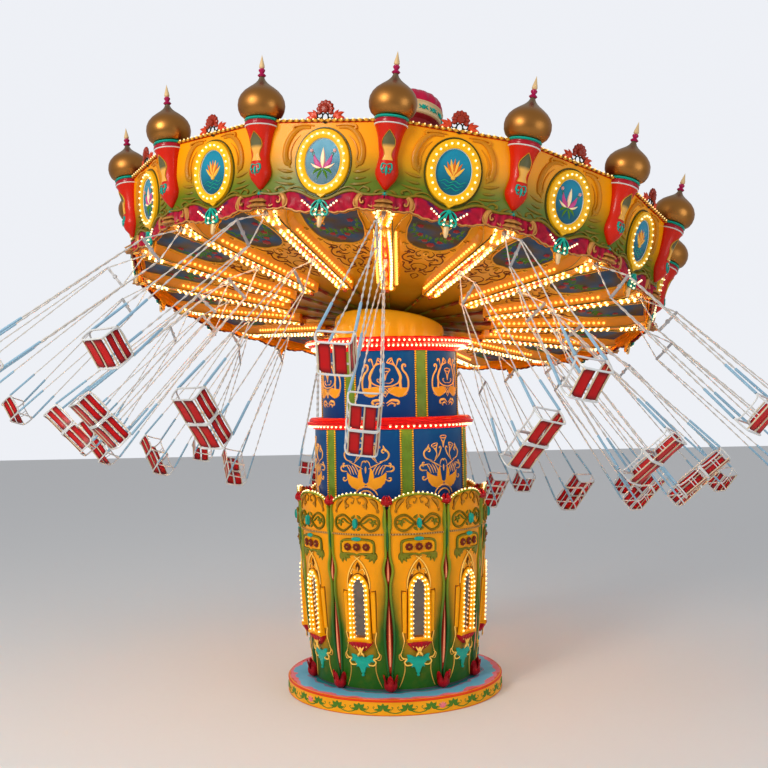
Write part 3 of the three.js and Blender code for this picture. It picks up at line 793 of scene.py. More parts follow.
def plinth_shape():
    edge = 0.03
    profile = [(0.0, 0.0), (PLINTH_RADIUS - 0.01, 0.0), (PLINTH_RADIUS, 0.012),
        (PLINTH_RADIUS, PLINTH_TOP - edge)]
    for a in np.linspace(0.2, math.pi / 2, 5):
        profile.append((PLINTH_RADIUS - edge * (1 - math.cos(a)), PLINTH_TOP - edge * (1 - math.sin(a))))
    profile.append((0.0, PLINTH_TOP))
    return profile


def vine_unit():
    """One length of the vine round the rim: a waving stem with a cap of leaves and a tendril."""
    low = 0.05
    high = PLINTH_TOP - 0.06
    middle = low + 0.11
    stem = [(-0.226, low), (-0.1, low + 0.03), (0.0, middle), (0.1, low + 0.03), (0.226, low)]
    unit = Shape().join(ribbon(stem, 0.022, 0.008, (0.8, 0.8)))
    for tip, width, bend in [((-0.15, middle - 0.03), 0.07, 0.35), ((-0.1, high - 0.02), 0.08, 0.3),
            ((0.0, high), 0.075, 0), ((0.1, high - 0.02), 0.08, -0.3), ((0.15, middle - 0.03), 0.07, -0.35)]:
        unit.join(leaf((0.0, middle - 0.01), tip, width, bend, 0.008, shade=0.5))
    for side in (-1, 1):
        tendril = [(side * 0.12, low + 0.03), (side * 0.18, low + 0.09)]
        unit.join(hook(tendril, (0.022, side * 4.2), 0.014, 0.006))
    return unit


def make_plinth():
    sides = 160
    piece("plinth_drum", lathe(plinth_shape(), sides), "plinth", "base", replaces=["plinth"])
    inner = PLINTH_RADIUS - 0.03
    proud = PLINTH_RADIUS + 0.005
    cover = collar(1.2, inner, PLINTH_TOP, PLINTH_TOP + 0.003, sides)
    piece("plinth_top_paint", cover, "plinth_top", "base")
    bands = Shape()
    for low, high in [(PLINTH_TOP - 0.045, PLINTH_TOP - 0.008), (0.006, 0.022)]:
        bands.join(lathe([(inner, low), (proud, low + 0.004), (proud, high - 0.012),
            (PLINTH_RADIUS - 0.012, high + 0.006), (inner, low)], sides))
    piece("plinth_red_bands", bands, "red_line", "base")
    count = 30
    vines = vine_unit().laid(on_drum(PLINTH_RADIUS)).around(count, 0.1)
    piece("plinth_vines", vines, "vine", "base")
    blossom = Shape()
    for index in range(5):
        angle = math.pi / 2 + (index - 2) * 0.5
        tip = (0.1 * math.cos(angle), 0.11 + 0.1 * math.sin(angle))
        blossom.join(leaf((0, 0.09), tip, 0.045, 0, 0.014))
    piece("plinth_blossoms", blossom.laid(on_drum(PLINTH_RADIUS)).around(5, 0.1 + TAU / count * 1.5),
        "blossom", "base")


# Barrel

PANEL_HALF = math.radians(17.2)
PANEL_TOP = BARREL_SHOULDER + ARCH_RISE


def edge_gap(height):
    """How far a panel's wavy side draws back from its full width, low down and again at the waist."""
    height = np.asarray(height, float)
    low = np.sin(np.clip((height - 0.62) / 1.5, 0, 1) * math.pi) ** 1.3
    waist = np.sin(np.clip((height - 2.3) / 0.62, 0, 1) * math.pi) ** 2
    return 0.055 * low + 0.05 * waist


def panel_half_width(height):
    height = np.asarray(height, float)
    full = barrel_radius(height) * PANEL_HALF - edge_gap(height)
    share = np.clip((height - BARREL_SHOULDER) / ARCH_RISE, 0, 1)
    return full * np.sqrt(np.maximum(1 - share ** 2.4, 0.0))


def panel_crown(points):
    """How far a panel's face swells out from the barrel's round."""
    height = points[:, 1]
    share = points[:, 0] / np.maximum(panel_half_width(height), 0.05)
    return 0.028 * np.clip(1 - share ** 2, 0, 1) + np.clip((height - 3.28) / 0.04, 0, 1) * 0.012


def on_panel(points):
    """A flat design laid on a panel's swelling face."""
    lift = np.zeros_like(points)
    lift[:, 2] = panel_crown(points)
    return on_barrel(points + lift)


def panel_shade(points):
    """Orange above, and green low down and along the sides."""
    height = points[:, 1]
    share = np.abs(points[:, 0]) / np.maximum(panel_half_width(height), 0.05)
    low = np.clip((1.75 - height) / 1.0, 0, 1) ** 1.2
    side = np.clip((share - 0.42) / 0.5, 0, 1) ** 1.3 * np.clip((2.85 - height) / 1.0, 0, 1)
    rim = np.clip((share - 0.84) / 0.12, 0, 1) * 0.5
    return np.clip(low + side + rim, 0, 1)


def panel_shape():
    foot = PLINTH_TOP + 0.045
    heights = np.concatenate([np.linspace(foot, 3.2, 32), np.linspace(3.25, BARREL_SHOULDER, 7),
        PANEL_TOP - ARCH_RISE * (1 - np.linspace(0.15, 0.995, 9)) ** 1.6])
    columns = np.linspace(-1, 1, 13)
    rings = []
    for height in heights:
        half = float(panel_half_width(height))
        crown = 0.028 * (1 - columns ** 2) + np.where(height > 3.3, 0.012, 0.0)
        front = stack(columns * half, height, crown)
        back = stack(columns[::-1] * half, height, -0.028)
        rings.append(np.vstack([front, back]))
    return loft(rings).shaded(panel_shade)


def panel_edge(side):
    heights = np.linspace(PLINTH_TOP + 0.1, BARREL_SHOULDER, 48)
    return stack(side * (panel_half_width(heights) - 0.012), heights)


def panel_borders():
    """Green beading up both sides, a fine gilt line inside it, and the arch's beading."""
    bead = Shape()
    for side in (-1, 1):
        bead.join(relief(panel_edge(side), 0.05, 0.03, (0.7, 0.9), out=0.01))
    share = np.linspace(0, math.pi, 26)
    half = float(panel_half_width(BARREL_SHOULDER)) - 0.02
    arch = stack(half * np.cos(share), BARREL_SHOULDER + (ARCH_RISE - 0.02) * np.sin(share) ** 0.85)
    bead.join(relief(arch, 0.045, 0.03, (0.9, 0.9), out=0.012))
    return bead.shaded(lambda p: np.clip((2.6 - p[:, 1]) / 1.2, 0, 1))


def hood_scrolls():
    """Gilt leaves in the hood, hooked over from the middle."""
    return both(
        hook([(0.02, 3.94), (0.12, 3.985), (0.21, 3.91), (0.185, 3.82)], (0.03, -3.6), 0.046, 0.03),
        leaf((0.17, 3.86), (0.2, 3.74), 0.06, 0.2, 0.03),
        leaf((0.25, 3.94), (0.4, 3.7), 0.09, 0.4, 0.034),
        hook([(0.38, 3.82), (0.43, 3.72)], (0.028, -3.4), 0.03, 0.02),
        hook([(0.02, 3.96), (0.055, 3.87)], (0.022, 4.2), 0.03, 0.02),
    ).raised(0.006)


SCROLL_LOOP = [
    (0.05, 3.46), (0.13, 3.56), (0.25, 3.64), (0.39, 3.6), (0.435, 3.5), (0.39, 3.39), (0.26, 3.345),
    (0.14, 3.42), (0.05, 3.51),
]


def figure_eight():
    """The green scroll under the hood, with a curled leaf in each loop."""
    half = Shape().join(ribbon(SCROLL_LOOP, 0.05, 0.036, (0.7, 0.7)))
    half.join(hook([(0.06, 3.48), (0.15, 3.49), (0.24, 3.56)], (0.05, -5.2), 0.036, 0.028))
    for tip in [(0.4, 3.54), (0.4, 3.46), (0.31, 3.42)]:
        half.join(leaf((0.31, 3.5), tip, 0.045, 0.2, 0.022))
    half.join(leaf((0.1, 3.58), (0.02, 3.65), 0.05, 0.2, 0.022))
    half.join(leaf((0.1, 3.4), (0.02, 3.34), 0.05, -0.2, 0.022))
    return half.mirrored().raised(0.004)


PLAQUE_LOW = 2.93
PLAQUE_HIGH = 3.17


def plaque_outline(grow=0.0):
    half = 0.31 + grow
    low = PLAQUE_LOW - grow
    high = PLAQUE_HIGH + grow
    return np.array([
        (-half, low + 0.02), (-half + 0.05, low), (-0.06, low), (0, low - 0.025), (0.06, low),
        (half - 0.05, low), (half, low + 0.02), (half, high - 0.07), (half - 0.05, high - 0.02),
        (0.12, high), (-0.12, high), (-half + 0.05, high - 0.02), (-half, high - 0.07),
    ])


def figure_eight_cores():
    """The gilt line along the middle of the green scroll."""
    return ribbon(SCROLL_LOOP, 0.018, 0.014, (0.7, 0.7), out=0.032).mirrored()


def plaque_rim():
    ring = np.vstack([plaque_outline(0.014), plaque_outline(0.014)[:1]])
    rim = relief(smooth(ring, 3), 0.048, 0.034, (1, 1), out=0.012)
    corner = Shape()
    for tip in [(0.37, 2.8), (0.31, 2.73), (0.22, 2.76), (0.14, 2.83)]:
        corner.join(leaf((0.29, 2.95), tip, 0.095, 0.15, 0.034))
    corner.join(hook([(0.08, 2.91), (0.2, 2.87)], (0.03, -3.8), 0.034, 0.024))
    corner.join(hook([(0.13, 3.2), (0.24, 3.18), (0.32, 3.1)], (0.022, -3), 0.034, 0.026))
    return rim.join(corner.mirrored())


def rosettes():
    row = Shape()
    for across in (-0.185, 0.0, 0.185):
        row.join(disc_plate((across, 3.045), 0.07, 0.02, 0.05, 8, 0.1))
    return row


def rosette_eyes():
    row = Shape()
    for across in (-0.185, 0.0, 0.185):
        row.join(disc_plate((across, 3.045), 0.02, 0.04, 0.068, 6, 0.12, sides=18))
    return row


WINDOW_LOW = 1.3
WINDOW_SPRING = 2.25
WINDOW_HALF = 0.205
MIRROR_HALF = 0.105


def lancet(half, low, spring, rise):
    """A pointed arch over two straight sides, from the left foot to the right foot."""
    t = np.linspace(0, 1, 9)
    curve = stack(-half * (1 - t ** 1.7), spring + rise * (1 - (1 - t) ** 1.5))
    straight = stack(-half, np.linspace(low, spring, 12, endpoint=False))
    left = np.vstack([straight, curve])
    right = (left * [-1, 1])[::-1]
    return np.vstack([left, right[1:]])


def window_lift(height):
    """How far the window frame stands out: flush at its head and proud at its sill."""
    return np.interp(height, [WINDOW_LOW, WINDOW_SPRING, WINDOW_SPRING + 0.3], [1.0, 0.6, 0.4])


def window_frame():
    outer = lancet(WINDOW_HALF, WINDOW_LOW, WINDOW_SPRING, 0.29)
    inner = lancet(MIRROR_HALF, WINDOW_LOW, WINDOW_SPRING, 0.19)
    levels = [(0.0, 0.0), (0.0, 0.085), (0.1, 0.1), (0.72, 0.1), (0.84, 0.09), (0.96, 0.02), (1.0, 0.0)]
    rings = []
    for a, b in zip(outer, inner):
        lift = window_lift(a[1])
        rings.append([(*(a + (b - a) * k), out * lift) for k, out in levels])
    return loft(rings)


def window_bulb_places():
    """One row on the face of the frame, and one on its reveal beside the mirror."""
    outer = lancet(WINDOW_HALF, WINDOW_LOW + 0.04, WINDOW_SPRING, 0.29)
    inner = lancet(MIRROR_HALF, WINDOW_LOW + 0.04, WINDOW_SPRING, 0.19)
    first = spaced(outer * 0.53 + inner * 0.47, 0.09)
    second = spaced(outer * 0.1 + inner * 0.9, 0.09)
    return np.vstack([stack(first, 0.1 * window_lift(first[:, 1]) + 0.012),
        stack(second, 0.045 * window_lift(second[:, 1]) + 0.012)])


def window_trim():
    """Pilasters beside the window and the sill under it."""
    trim = Shape()
    for side in (-1, 1):
        post = [(side * 0.225, WINDOW_LOW + 0.12), (side * 0.3, WINDOW_LOW + 0.12),
            (side * 0.315, WINDOW_SPRING - 0.1), (side * 0.3, WINDOW_SPRING - 0.055),
            (side * 0.24, WINDOW_SPRING - 0.055), (side * 0.225, WINDOW_SPRING - 0.1)]
        trim.join(plate(post if side > 0 else post[::-1], -0.02, 0.035, 0.014))
    sill = [(-0.225, WINDOW_LOW - 0.045), (0.225, WINDOW_LOW - 0.045), (0.2, WINDOW_LOW + 0.03),
        (-0.2, WINDOW_LOW + 0.03)]
    return trim.join(plate(sill, 0.0, 0.14, 0.012))


def window_bracket():
    """The oxblood bracket under the sill, carved in ribs."""
    rings = []
    for height, half, out in [(1.265, 0.23, 0.135), (1.21, 0.21, 0.115), (1.14, 0.15, 0.075),
            (1.07, 0.06, 0.03)]:
        across = np.linspace(-half, half, 13)
        swelling = 0.72 + 0.28 * np.cos(np.linspace(-math.pi / 2, math.pi / 2, 13))
        ridge = out * swelling + 0.016 * (np.arange(13) % 2)
        front = stack(across, height, ridge)
        back = stack(across[::-1], height, 0.0)
        rings.append(np.vstack([front, back]))
    return loft(rings)


def bracket_curls():
    return both(
        hook([(0.01, 1.0), (0.03, 1.1), (0.075, 1.18)], (0.03, -4), 0.034, 0.024),
        leaf((0.0, 1.06), (0.02, 1.23), 0.06, 0.2, 0.026),
        leaf((0.0, 1.06), (0.06, 0.97), 0.05, 0.2, 0.024),
    ).raised(0.07)


def window_painted_shadows():
    """The dark lines round the frame and the pilasters, and the hollows under the crossed arch."""
    edge = lancet(WINDOW_HALF + 0.008, WINDOW_LOW, WINDOW_SPRING, 0.3)
    return both(
        relief(edge[len(edge) // 2:], 0.02, 0.012, (1, 1)),
        ribbon([(0.305, WINDOW_LOW + 0.1), (0.324, WINDOW_SPRING - 0.1), (0.305, WINDOW_SPRING - 0.04),
            (0.24, WINDOW_SPRING - 0.045)], 0.02, 0.012, (0.8, 0.8)),
        leaf((0.0, 2.59), (0.0, 2.76), 0.1, 0, 0.012),
        leaf((0.1, 2.55), (0.19, 2.4), 0.045, 0.1, 0.012),
    )


def gold_lines():
    """The gilt lines: a crossed arch over the window, and the long scrolls below it."""
    arch = [(-0.06, 2.87), (0.02, 2.81), (0.1, 2.72), (0.17, 2.58), (0.212, 2.42), (0.222, 2.26)]
    down = [(0.3, 1.1), (0.33, 1.0), (0.29, 0.935), (0.22, 0.92), (0.26, 0.86), (0.22, 0.8), (0.14, 0.8)]
    return both(
        ribbon(arch, 0.034, 0.028, (0.6, 0.8)),
        hook([(0.05, 2.6), (0.1, 2.63), (0.14, 2.56)], (0.022, -3.4), 0.026, 0.02),
        leaf((0.0, 2.57), (0.0, 2.68), 0.04, 0, 0.022, out=0.006),
        hook([(0.3, 1.1), (0.27, 1.26), (0.3, 1.42)], (0.026, 4.2), 0.032, 0.024),
        hook(down, (0.032, -3.6), 0.036, 0.026),
        ribbon([(0.24, 0.93), (0.33, 0.9), (0.36, 0.99), (0.3, 1.05)], 0.028, 0.018),
        ribbon([(0.26, 0.87), (0.25, 0.7), (0.29, 0.52), (0.35, 0.37)], 0.026, 0.016, (0.8, 0.6)),
    ).raised(0.004)


def teal_shield():
    half = [(0.0, 0.97), (0.07, 0.955), (0.14, 0.995), (0.22, 1.0), (0.2, 0.93), (0.24, 0.86), (0.17, 0.865),
        (0.12, 0.81), (0.13, 0.755), (0.08, 0.765), (0.05, 0.71), (0.035, 0.66), (0.0, 0.62)]
    line = smooth(half, 3)
    outline = np.vstack([line, (line * [-1, 1])[::-1][1:-1]])
    return plate(outline[::-1], -0.01, 0.024, 0.01)


def teal_gems():
    gem = disc_plate((0.0, 3.49), 0.045, 0.03, 0.1, sides=16)
    gem = gem.laid(lambda p: stack(p[:, 0], 3.49 + (p[:, 1] - 3.49) * 2.2, p[:, 2]))
    for offset in (-0.028, 0.028):
        gem.join(relief([(offset, 3.41), (offset * 1.2, 3.49), (offset, 3.57)], 0.02, 0.012, out=0.085))
    cap = disc_plate((0.0, 3.195), 0.095, 0.02, 0.055, sides=16)
    cap = cap.laid(lambda p: stack(p[:, 0], 3.195 + (p[:, 1] - 3.195) * 0.42, p[:, 2]))
    ball = disc_plate((0.0, 0.61), 0.028, 0.0, 0.04, sides=12)
    return gem.join(cap, ball)


def tulip(radius, height, petals, flare):
    """A tulip with pointed petals, standing on its stem at the origin."""
    sides = petals * 8
    angle = np.arange(sides) * TAU / sides
    valley = 1 - np.abs(np.cos(petals * angle / 2))
    profile = [(0.0, 0.22), (0.08, 0.6), (0.24, 0.95), (0.44, 1.0), (0.64, 0.9), (0.84, 0.86 + 0.45 * flare),
        (1.0, 0.84 + flare)]
    rings = []
    for share, size in profile:
        around = radius * size * (1 - 0.14 * valley)
        up = height * share * (1 - 0.5 * share ** 2 * valley)
        rings.append(round_axis(around, angle, up))
    inner = [stack(r[:, :2] * 0.86, r[:, 2] - 0.004) for r in rings[:2:-1]]
    bottom = inner[-1].copy()
    bottom[:, :2] *= 0.3
    return loft(rings + inner + [bottom])


def barrel_corner(height, out):
    radius = float(barrel_radius(height)) + out
    return lambda p: stack(p[:, 0], p[:, 1] - radius, p[:, 2] + height)


def slivers():
    """The long flames between the panels, widest low down and pale in the middle."""
    flames = Shape()
    shape = lambda s: 0.05 + np.sin(math.pi * s ** 0.55) ** 1.1
    for low, high, width in [(0.6, 2.12, 0.12), (2.34, 2.9, 0.1)]:
        line = stack(0.0, np.linspace(low, high, 17))
        flames.join(relief(line, width, 0.04, out=-0.012, profile=shape, shade=0.0))
        flames.join(relief(line[1:-2], width * 0.55, 0.04, out=-0.004, profile=shape, shade=1.0))
    return flames


def corner_leaves():
    """The green calyx that runs up between two hoods to the bud."""
    green = Shape()
    for side in (-1, 1):
        green.join(leaf((0, 3.2), (side * 0.03, 3.84), 0.1, -0.12 * side, 0.05, out=0.0, shade=0.3))
    green.join(leaf((0, 2.95), (0, 3.5), 0.06, 0, 0.05, out=0.01, shade=1.0))
    return green


def make_barrel():
    headings = [PANEL_PHASE + (index + 0.5) * TAU / PANELS for index in range(PANELS)]
    mesh = build_mesh("barrel_panel_face", panel_shape().laid(on_barrel), 50)
    for number, heading in enumerate(headings, 1):
        turned = Matrix.Rotation(heading, 4, "Z")
        piece(f"barrel_panel_face_{number}", mesh, "panel", "tower", turned,
            [f"barrel_panel_{number}"])

    def on_panels(name, shape, finish):
        piece(name, shape.laid(on_panel).around(PANELS, headings[0]), finish, "tower")

    def on_corners(name, shape, finish):
        piece(name, shape.around(PANELS, PANEL_PHASE), finish, "tower")

    on_panels("panel_beading", panel_borders(), "border")
    on_panels("hood_leaves", hood_scrolls(), "old_gold")
    on_panels("hood_figure_eights", figure_eight(), "scroll_green")
    on_panels("figure_eight_cores", figure_eight_cores(), "old_gold")
    on_panels("plaques", plate(plaque_outline(), 0.0, 0.03, 0.01), "amber")
    on_panels("plaque_rims", plaque_rim(), "scroll_green")
    on_panels("plaque_rosettes", rosettes(), "rust")
    on_panels("plaque_rosette_eyes", rosette_eyes(), "old_gold")
    on_panels("window_frames", window_frame(), "amber")
    on_panels("window_trim", window_trim(), "amber")
    mirror = plate(lancet(MIRROR_HALF + 0.004, WINDOW_LOW, WINDOW_SPRING, 0.19), 0.006, 0.014)
    on_panels("window_mirrors", mirror, "mirror")
    on_panels("window_painted_shadows", window_painted_shadows(), "outline")
    on_panels("window_brackets", window_bracket(), "bracket_red")
    on_panels("bracket_curls", bracket_curls(), "bright_gold")
    on_panels("panel_gold_lines", gold_lines(), "bright_gold")
    on_panels("teal_shields", teal_shield(), "teal")
    on_panels("teal_gems", teal_gems(), "teal")
    half = float(panel_half_width(3.28))
    cord = stack(np.linspace(-half, half, 40), 3.28, 0.014)
    on_panels("hood_ropes", rope(cord, 0.022, 0.026), "cord")
    on_corners("barrel_slivers", slivers().laid(on_barrel), "salmon")
    on_corners("barrel_calyxes", corner_leaves().laid(on_barrel), "border")
    buds = tulip(0.115, 0.21, 4, -0.5).laid(barrel_corner(3.8, 0.02))
    feet = tulip(0.13, 0.34, 5, 0.3).laid(barrel_corner(0.302, 0.07))
    on_corners("barrel_tulips", buds.join(feet), "tulip")
    for node, finish in [("turntable", "steel"), ("lift_mast", "steel"), ("barrel_liner", "salmon")]:
        repaint(node, finish)


def tower_bulb_places():
    """The bulbs of one panel: round its window and over its hood."""
    share = np.linspace(0.05, 0.95, 17) * math.pi
    half = float(panel_half_width(BARREL_SHOULDER)) - 0.02
    arch = stack(half * np.cos(share), BARREL_SHOULDER + (ARCH_RISE + 0.01) * np.sin(share) ** 0.85, 0.02)
    return np.vstack([window_bulb_places(), arch])


def make_tower_bulbs():
    places = on_panel(tower_bulb_places())
    every = [turner(PANEL_PHASE + (index + 0.5) * TAU / PANELS)(places) for index in range(PANELS)]
    piece("tower_bulbs", bulbs(np.vstack(every), 0.019), "tower_bulb", "tower")


# Blue tiers

RING_SIDES = 120
MAST_BORE = 0.34
HEAD_WELL = 1.25


def tier_skin(radius, low, high, inner):
    skin = collar(inner, radius, low, high, RING_SIDES)
    return skin.shaded(lambda p: np.clip((p[:, 2] - low) / (high - low) * 1.4 - 0.7, 0, 1) * 0.6)


def slab(heights, halves, out, back=-0.01, columns=9, steps=3):
    """A thin slab on a flat design, with enough points across it to follow a curved surface."""
    line = smooth(stack(halves, heights), steps)
    across = np.linspace(-1, 1, columns)
    rings = []
    for half, height in line:
        front = stack(across * half, height, out)
        rings.append(np.vstack([front, front[::-1] * [1, 1, 0] + [0, 0, back]]))
    return loft(rings)


def trumpet(foot, mouth, width):
    """The outline of a trumpet flower on a flat design."""
    foot = np.asarray(foot, float)
    mouth = np.asarray(mouth, float)
    along = (mouth - foot) / np.linalg.norm(mouth - foot)
    side = np.array([-along[1], along[0]]) * width / 2
    bell = arc((0, 0), 1, 0.32, 0, TAU, 16)
    rim = mouth + bell[:, :1] * side + bell[:, 1:] * along * width / 2
    flower = relief(rim, 0.022, 0.012, (1, 1))
    for sign in (-1, 1):
        flower.join(ribbon([foot, foot + (mouth - foot) * 0.55 + side * sign * 0.3, mouth + side * sign],
            0.024, 0.012, (0.8, 0.9)))
    return flower.join(leaf(foot, foot + (mouth - foot) * 0.7, 0.03, 0, 0.012))


def upper_arabesque():
    """Facing swan-neck scrolls round a trumpet flower: a common lyre ornament."""
    whole = both(
        hook([(0.34, -0.27), (0.43, -0.18), (0.455, -0.02), (0.42, 0.12), (0.345, 0.22), (0.335, 0.29)],
            (0.045, -4.6), 0.042, 0.012, (0.9, 0.5)),
        leaf((0.05, -0.13), (0.45, -0.12), 0.2, -0.34, 0.012, shade=1.0),
        leaf((0.14, -0.18), (0.43, -0.24), 0.15, -0.2, 0.012, shade=1.0),
        ribbon([(0.3, -0.14), (0.29, 0.0), (0.3, 0.09), (0.25, 0.21), (0.2, 0.29)], 0.06, 0.012, (1.0, 0.5)),
        hook([(0.215, 0.26), (0.24, 0.36), (0.255, 0.41)], (0.038, -4.4), 0.034, 0.012),
        trumpet((0.215, 0.28), (0.09, 0.4), 0.13),
        ribbon([(0.3, 0.06), (0.25, -0.03), (0.14, -0.085), (0.0, -0.1)], 0.03, 0.012, (0.8, 1.0)),
        hook([(0.0, -0.03), (0.09, -0.035), (0.15, 0.01)], (0.028, 4.2), 0.024, 0.011),
        ribbon([(0.0, -0.3), (0.07, -0.2), (0.18, -0.12)], 0.028, 0.012),
        ribbon([(0.0, -0.13), (0.09, -0.22), (0.2, -0.26)], 0.028, 0.012),
        hook([(0.02, -0.42), (0.12, -0.36), (0.23, -0.37)], (0.045, -3.8), 0.055, 0.012),
        hook([(0.03, -0.47), (0.1, -0.42), (0.17, -0.43)], (0.03, -3.6), 0.036, 0.012),
    )
    return whole.join(trumpet((0, 0.02), (0, 0.22), 0.2), disc_plate((0, -0.21), 0.03, 0, 0.014, sides=14))


def lower_arabesque():
    """Two full leaves under ribs, side curls and three flowers."""
    half = Shape()
    half.join(leaf((0.0, -0.44), (0.4, -0.22), 0.24, -0.42, 0.013, shade=1.0))
    half.join(leaf((0.06, -0.46), (0.09, -0.12), 0.11, -0.25, 0.013, shade=1.0))
    for index in range(4):
        across = 0.13 + 0.06 * index
        half.join(ribbon([(across, -0.26), (across + 0.04, -0.16), (across + 0.1, -0.08)], 0.026, 0.011))
    half.join(ribbon([(0.06, -0.15), (0.18, -0.09), (0.34, -0.02)], 0.028, 0.012))
    for start, end, radius in [((0.36, -0.08), (0.46, -0.1), 0.035), ((0.4, -0.2), (0.5, -0.2), 0.065),
            ((0.36, -0.33), (0.44, -0.38), 0.045)]:
        half.join(hook([start, end], (radius, 4.8), 0.036, 0.012))
    half.join(hook([(0.1, -0.12), (0.07, -0.03), (0.03, 0.0)], (0.025, 3.6), 0.026, 0.011))
    half.join(hook([(0.24, -0.04), (0.12, 0.08), (0.06, 0.2)], (0.035, -4.4), 0.034, 0.012))
    half.join(hook([(0.28, -0.02), (0.42, 0.03), (0.46, 0.13), (0.4, 0.21)], (0.055, 4.8), 0.04, 0.012))
    half.join(leaf((0.42, 0.17), (0.35, 0.3), 0.05, 0.2, 0.012))
    half.join(ribbon([(0.22, 0.0), (0.17, 0.08), (0.17, 0.14)], 0.024, 0.011))
    half.join(trumpet((0.17, 0.12), (0.22, 0.28), 0.15))
    whole = half.mirrored()
    whole.join(trumpet((0, 0.22), (0, 0.43), 0.16), leaf((0, -0.1), (0, -0.24), 0.04, 0, 0.014))
    for radius in (0.16, 0.24):
        whole.join(relief(arc((0, -0.72), radius, radius * 0.95, 0.3, math.pi - 0.6, 16), 0.034, 0.012,
            (0.8, 0.8)))
    return whole


TIERS = [
    # name, radius, bore, low, high, first post's heading in degrees, design, the design's middle height
    ("lower", TIER_RADIUS, MAST_BORE, 3.16, MID_RING_LOW, 11.5, lower_arabesque, 4.63),
    ("upper", UPPER_RADIUS, HEAD_WELL, MID_RING_HIGH, TOP_RING_LOW, 26.5, upper_arabesque, 6.14),
]
TIER_SIDES = 6
POST_WIDTH = 0.2


def make_tiers():
    half = POST_WIDTH / 2
    for name, radius, bore, low, high, degrees, design, middle in TIERS:
        post = math.radians(degrees)
        skin = tier_skin(radius, low + 0.0005, high - 0.0005, bore)
        piece(f"{name}_tier_skin", skin, "blue", "column", replaces=[f"{name}_tier"])
        seen = max(low, 3.8)
        heights = [seen, (seen + high) / 2, high - 0.002]
        posts = slab(heights, [half] * 3, 0.012, -0.002, 5).laid(on_drum(radius))
        piece(f"{name}_tier_posts", posts.around(TIER_SIDES, post), "post", "column")
        cords = Shape()
        for side in (-1, 1):
            line = np.array([(side * (half + 0.018), z, 0.012) for z in np.linspace(seen, high - 0.01, 60)])
            cords.join(rope(on_drum(radius)(line), 0.02, 0.022))
        piece(f"{name}_tier_ropes", cords.around(TIER_SIDES, post), "rope_yellow", "column")
        drawn = design().laid(lambda p: stack(p[:, 0], p[:, 1] + middle, p[:, 2]))
        gilt = drawn.laid(on_drum(radius)).around(TIER_SIDES, post + TAU / TIER_SIDES / 2)
        piece(f"{name}_tier_arabesques", gilt, "gold_paint", "column")


# Cornices

def make_cornices():
    rim = RING_RADIUS
    low = MID_RING_LOW
    mid = [(MAST_BORE, low), (TIER_RADIUS + 0.03, low), (TIER_RADIUS + 0.05, low + 0.03),
        (rim - 0.04, low + 0.035), (rim - 0.01, low + 0.06), (rim - 0.005, low + 0.1),
        (rim - 0.05, low + 0.115), (rim - 0.05, low + 0.15), (rim - 0.09, MID_RING_HIGH),
        (MAST_BORE, MID_RING_HIGH), (MAST_BORE, low)]
    piece("mid_cornice", lathe(mid, RING_SIDES), "red", "column", replaces=["mid_ring"])
    low = TOP_RING_LOW
    high = TOP_RING_HIGH
    top = [(HEAD_WELL, low), (UPPER_RADIUS + 0.05, low), (UPPER_RADIUS + 0.07, low + 0.03),
        (rim - 0.12, low + 0.05), (rim - 0.03, low + 0.13), (rim, high - 0.03), (rim - 0.01, high),
        (HEAD_WELL, high), (HEAD_WELL, low)]
    piece("top_cornice", lathe(top, RING_SIDES), "red", "column", replaces=["top_ring"])
    skirts = Shape()
    for radius, level, drop in [(UPPER_RADIUS, low, 0.055), (TIER_RADIUS, MID_RING_LOW, 0.03)]:
        inner = radius + 0.0135
        band = [(inner, level - drop), (radius + 0.036, level - drop), (radius + 0.045, level + 0.004),
            (inner, level + 0.004), (inner, level - drop)]
        skirts.join(lathe(band, RING_SIDES))
    piece("cornice_skirts", skirts, "red", "column")
    repaint("tilt_yoke", "steel")
    places = []
    for radius, height, gap in [(rim - 0.055, MID_RING_LOW + 0.022, 0.115), (rim - 0.01, high - 0.075, 0.1),
            (rim - 0.13, low + 0.03, 0.09)]:
        angle = np.arange(int(TAU * radius / gap)) * gap / radius
        places.append(round_axis(radius, angle, height))
    piece("cornice_bulbs", bulbs(np.vstack(places)), "bulb", "column")


def make_head():
    wall = 0.025
    inner = DRUM_RADIUS - wall
    profile = [(0.0, -0.22), (0.25, -0.22), (0.25, DRUM_TOP - wall), (inner, DRUM_TOP - wall),
        (inner, -0.45), (DRUM_RADIUS, -0.45), (DRUM_RADIUS, -0.2), (DRUM_RADIUS, 0.19)]
    for a in np.linspace(0.2, math.pi / 2, 6):
        profile.append((DRUM_RADIUS - 0.06 * (1 - math.cos(a)), 0.19 + 0.06 * math.sin(a)))
    profile += [(0.25, DRUM_TOP), (0.25, 0.9), (0.0, 0.9)]
    piece("tilt_drum", lathe(profile, 96), "drum", "head", CANOPY, ["tilt_head"])


# Rounding boards, drawn at the front and laid on every bay

def canopy_ring(profile):
    """A ring with a corner at each column."""
    return lathe(profile, BAYS).laid(turner(BAY_PHASE))


def foot_shade(height):
    """None above, and full along the foot of the boards."""
    return np.clip((1.62 - height) / 0.5, 0, 1) ** 1.2


def board_shade(points):
    """Orange above, and green along the foot."""
    return foot_shade(points[:, 2])


def board_skin():
    heights = np.linspace(0.74, BOARD_HIGH, 12)
    outer = [(corner_radius(h), h) for h in heights]
    inner = [(corner_radius(h) - 0.04, h) for h in heights[::-1]]
    skin = canopy_ring(outer + inner + outer[:1])
    return skin.shaded(board_shade)


def oval(half_width, half_height, steps=40):
    angle = np.arange(steps) * TAU / steps
    return stack(half_width * np.cos(angle), MEDALLION_HEIGHT + half_height * np.sin(angle))


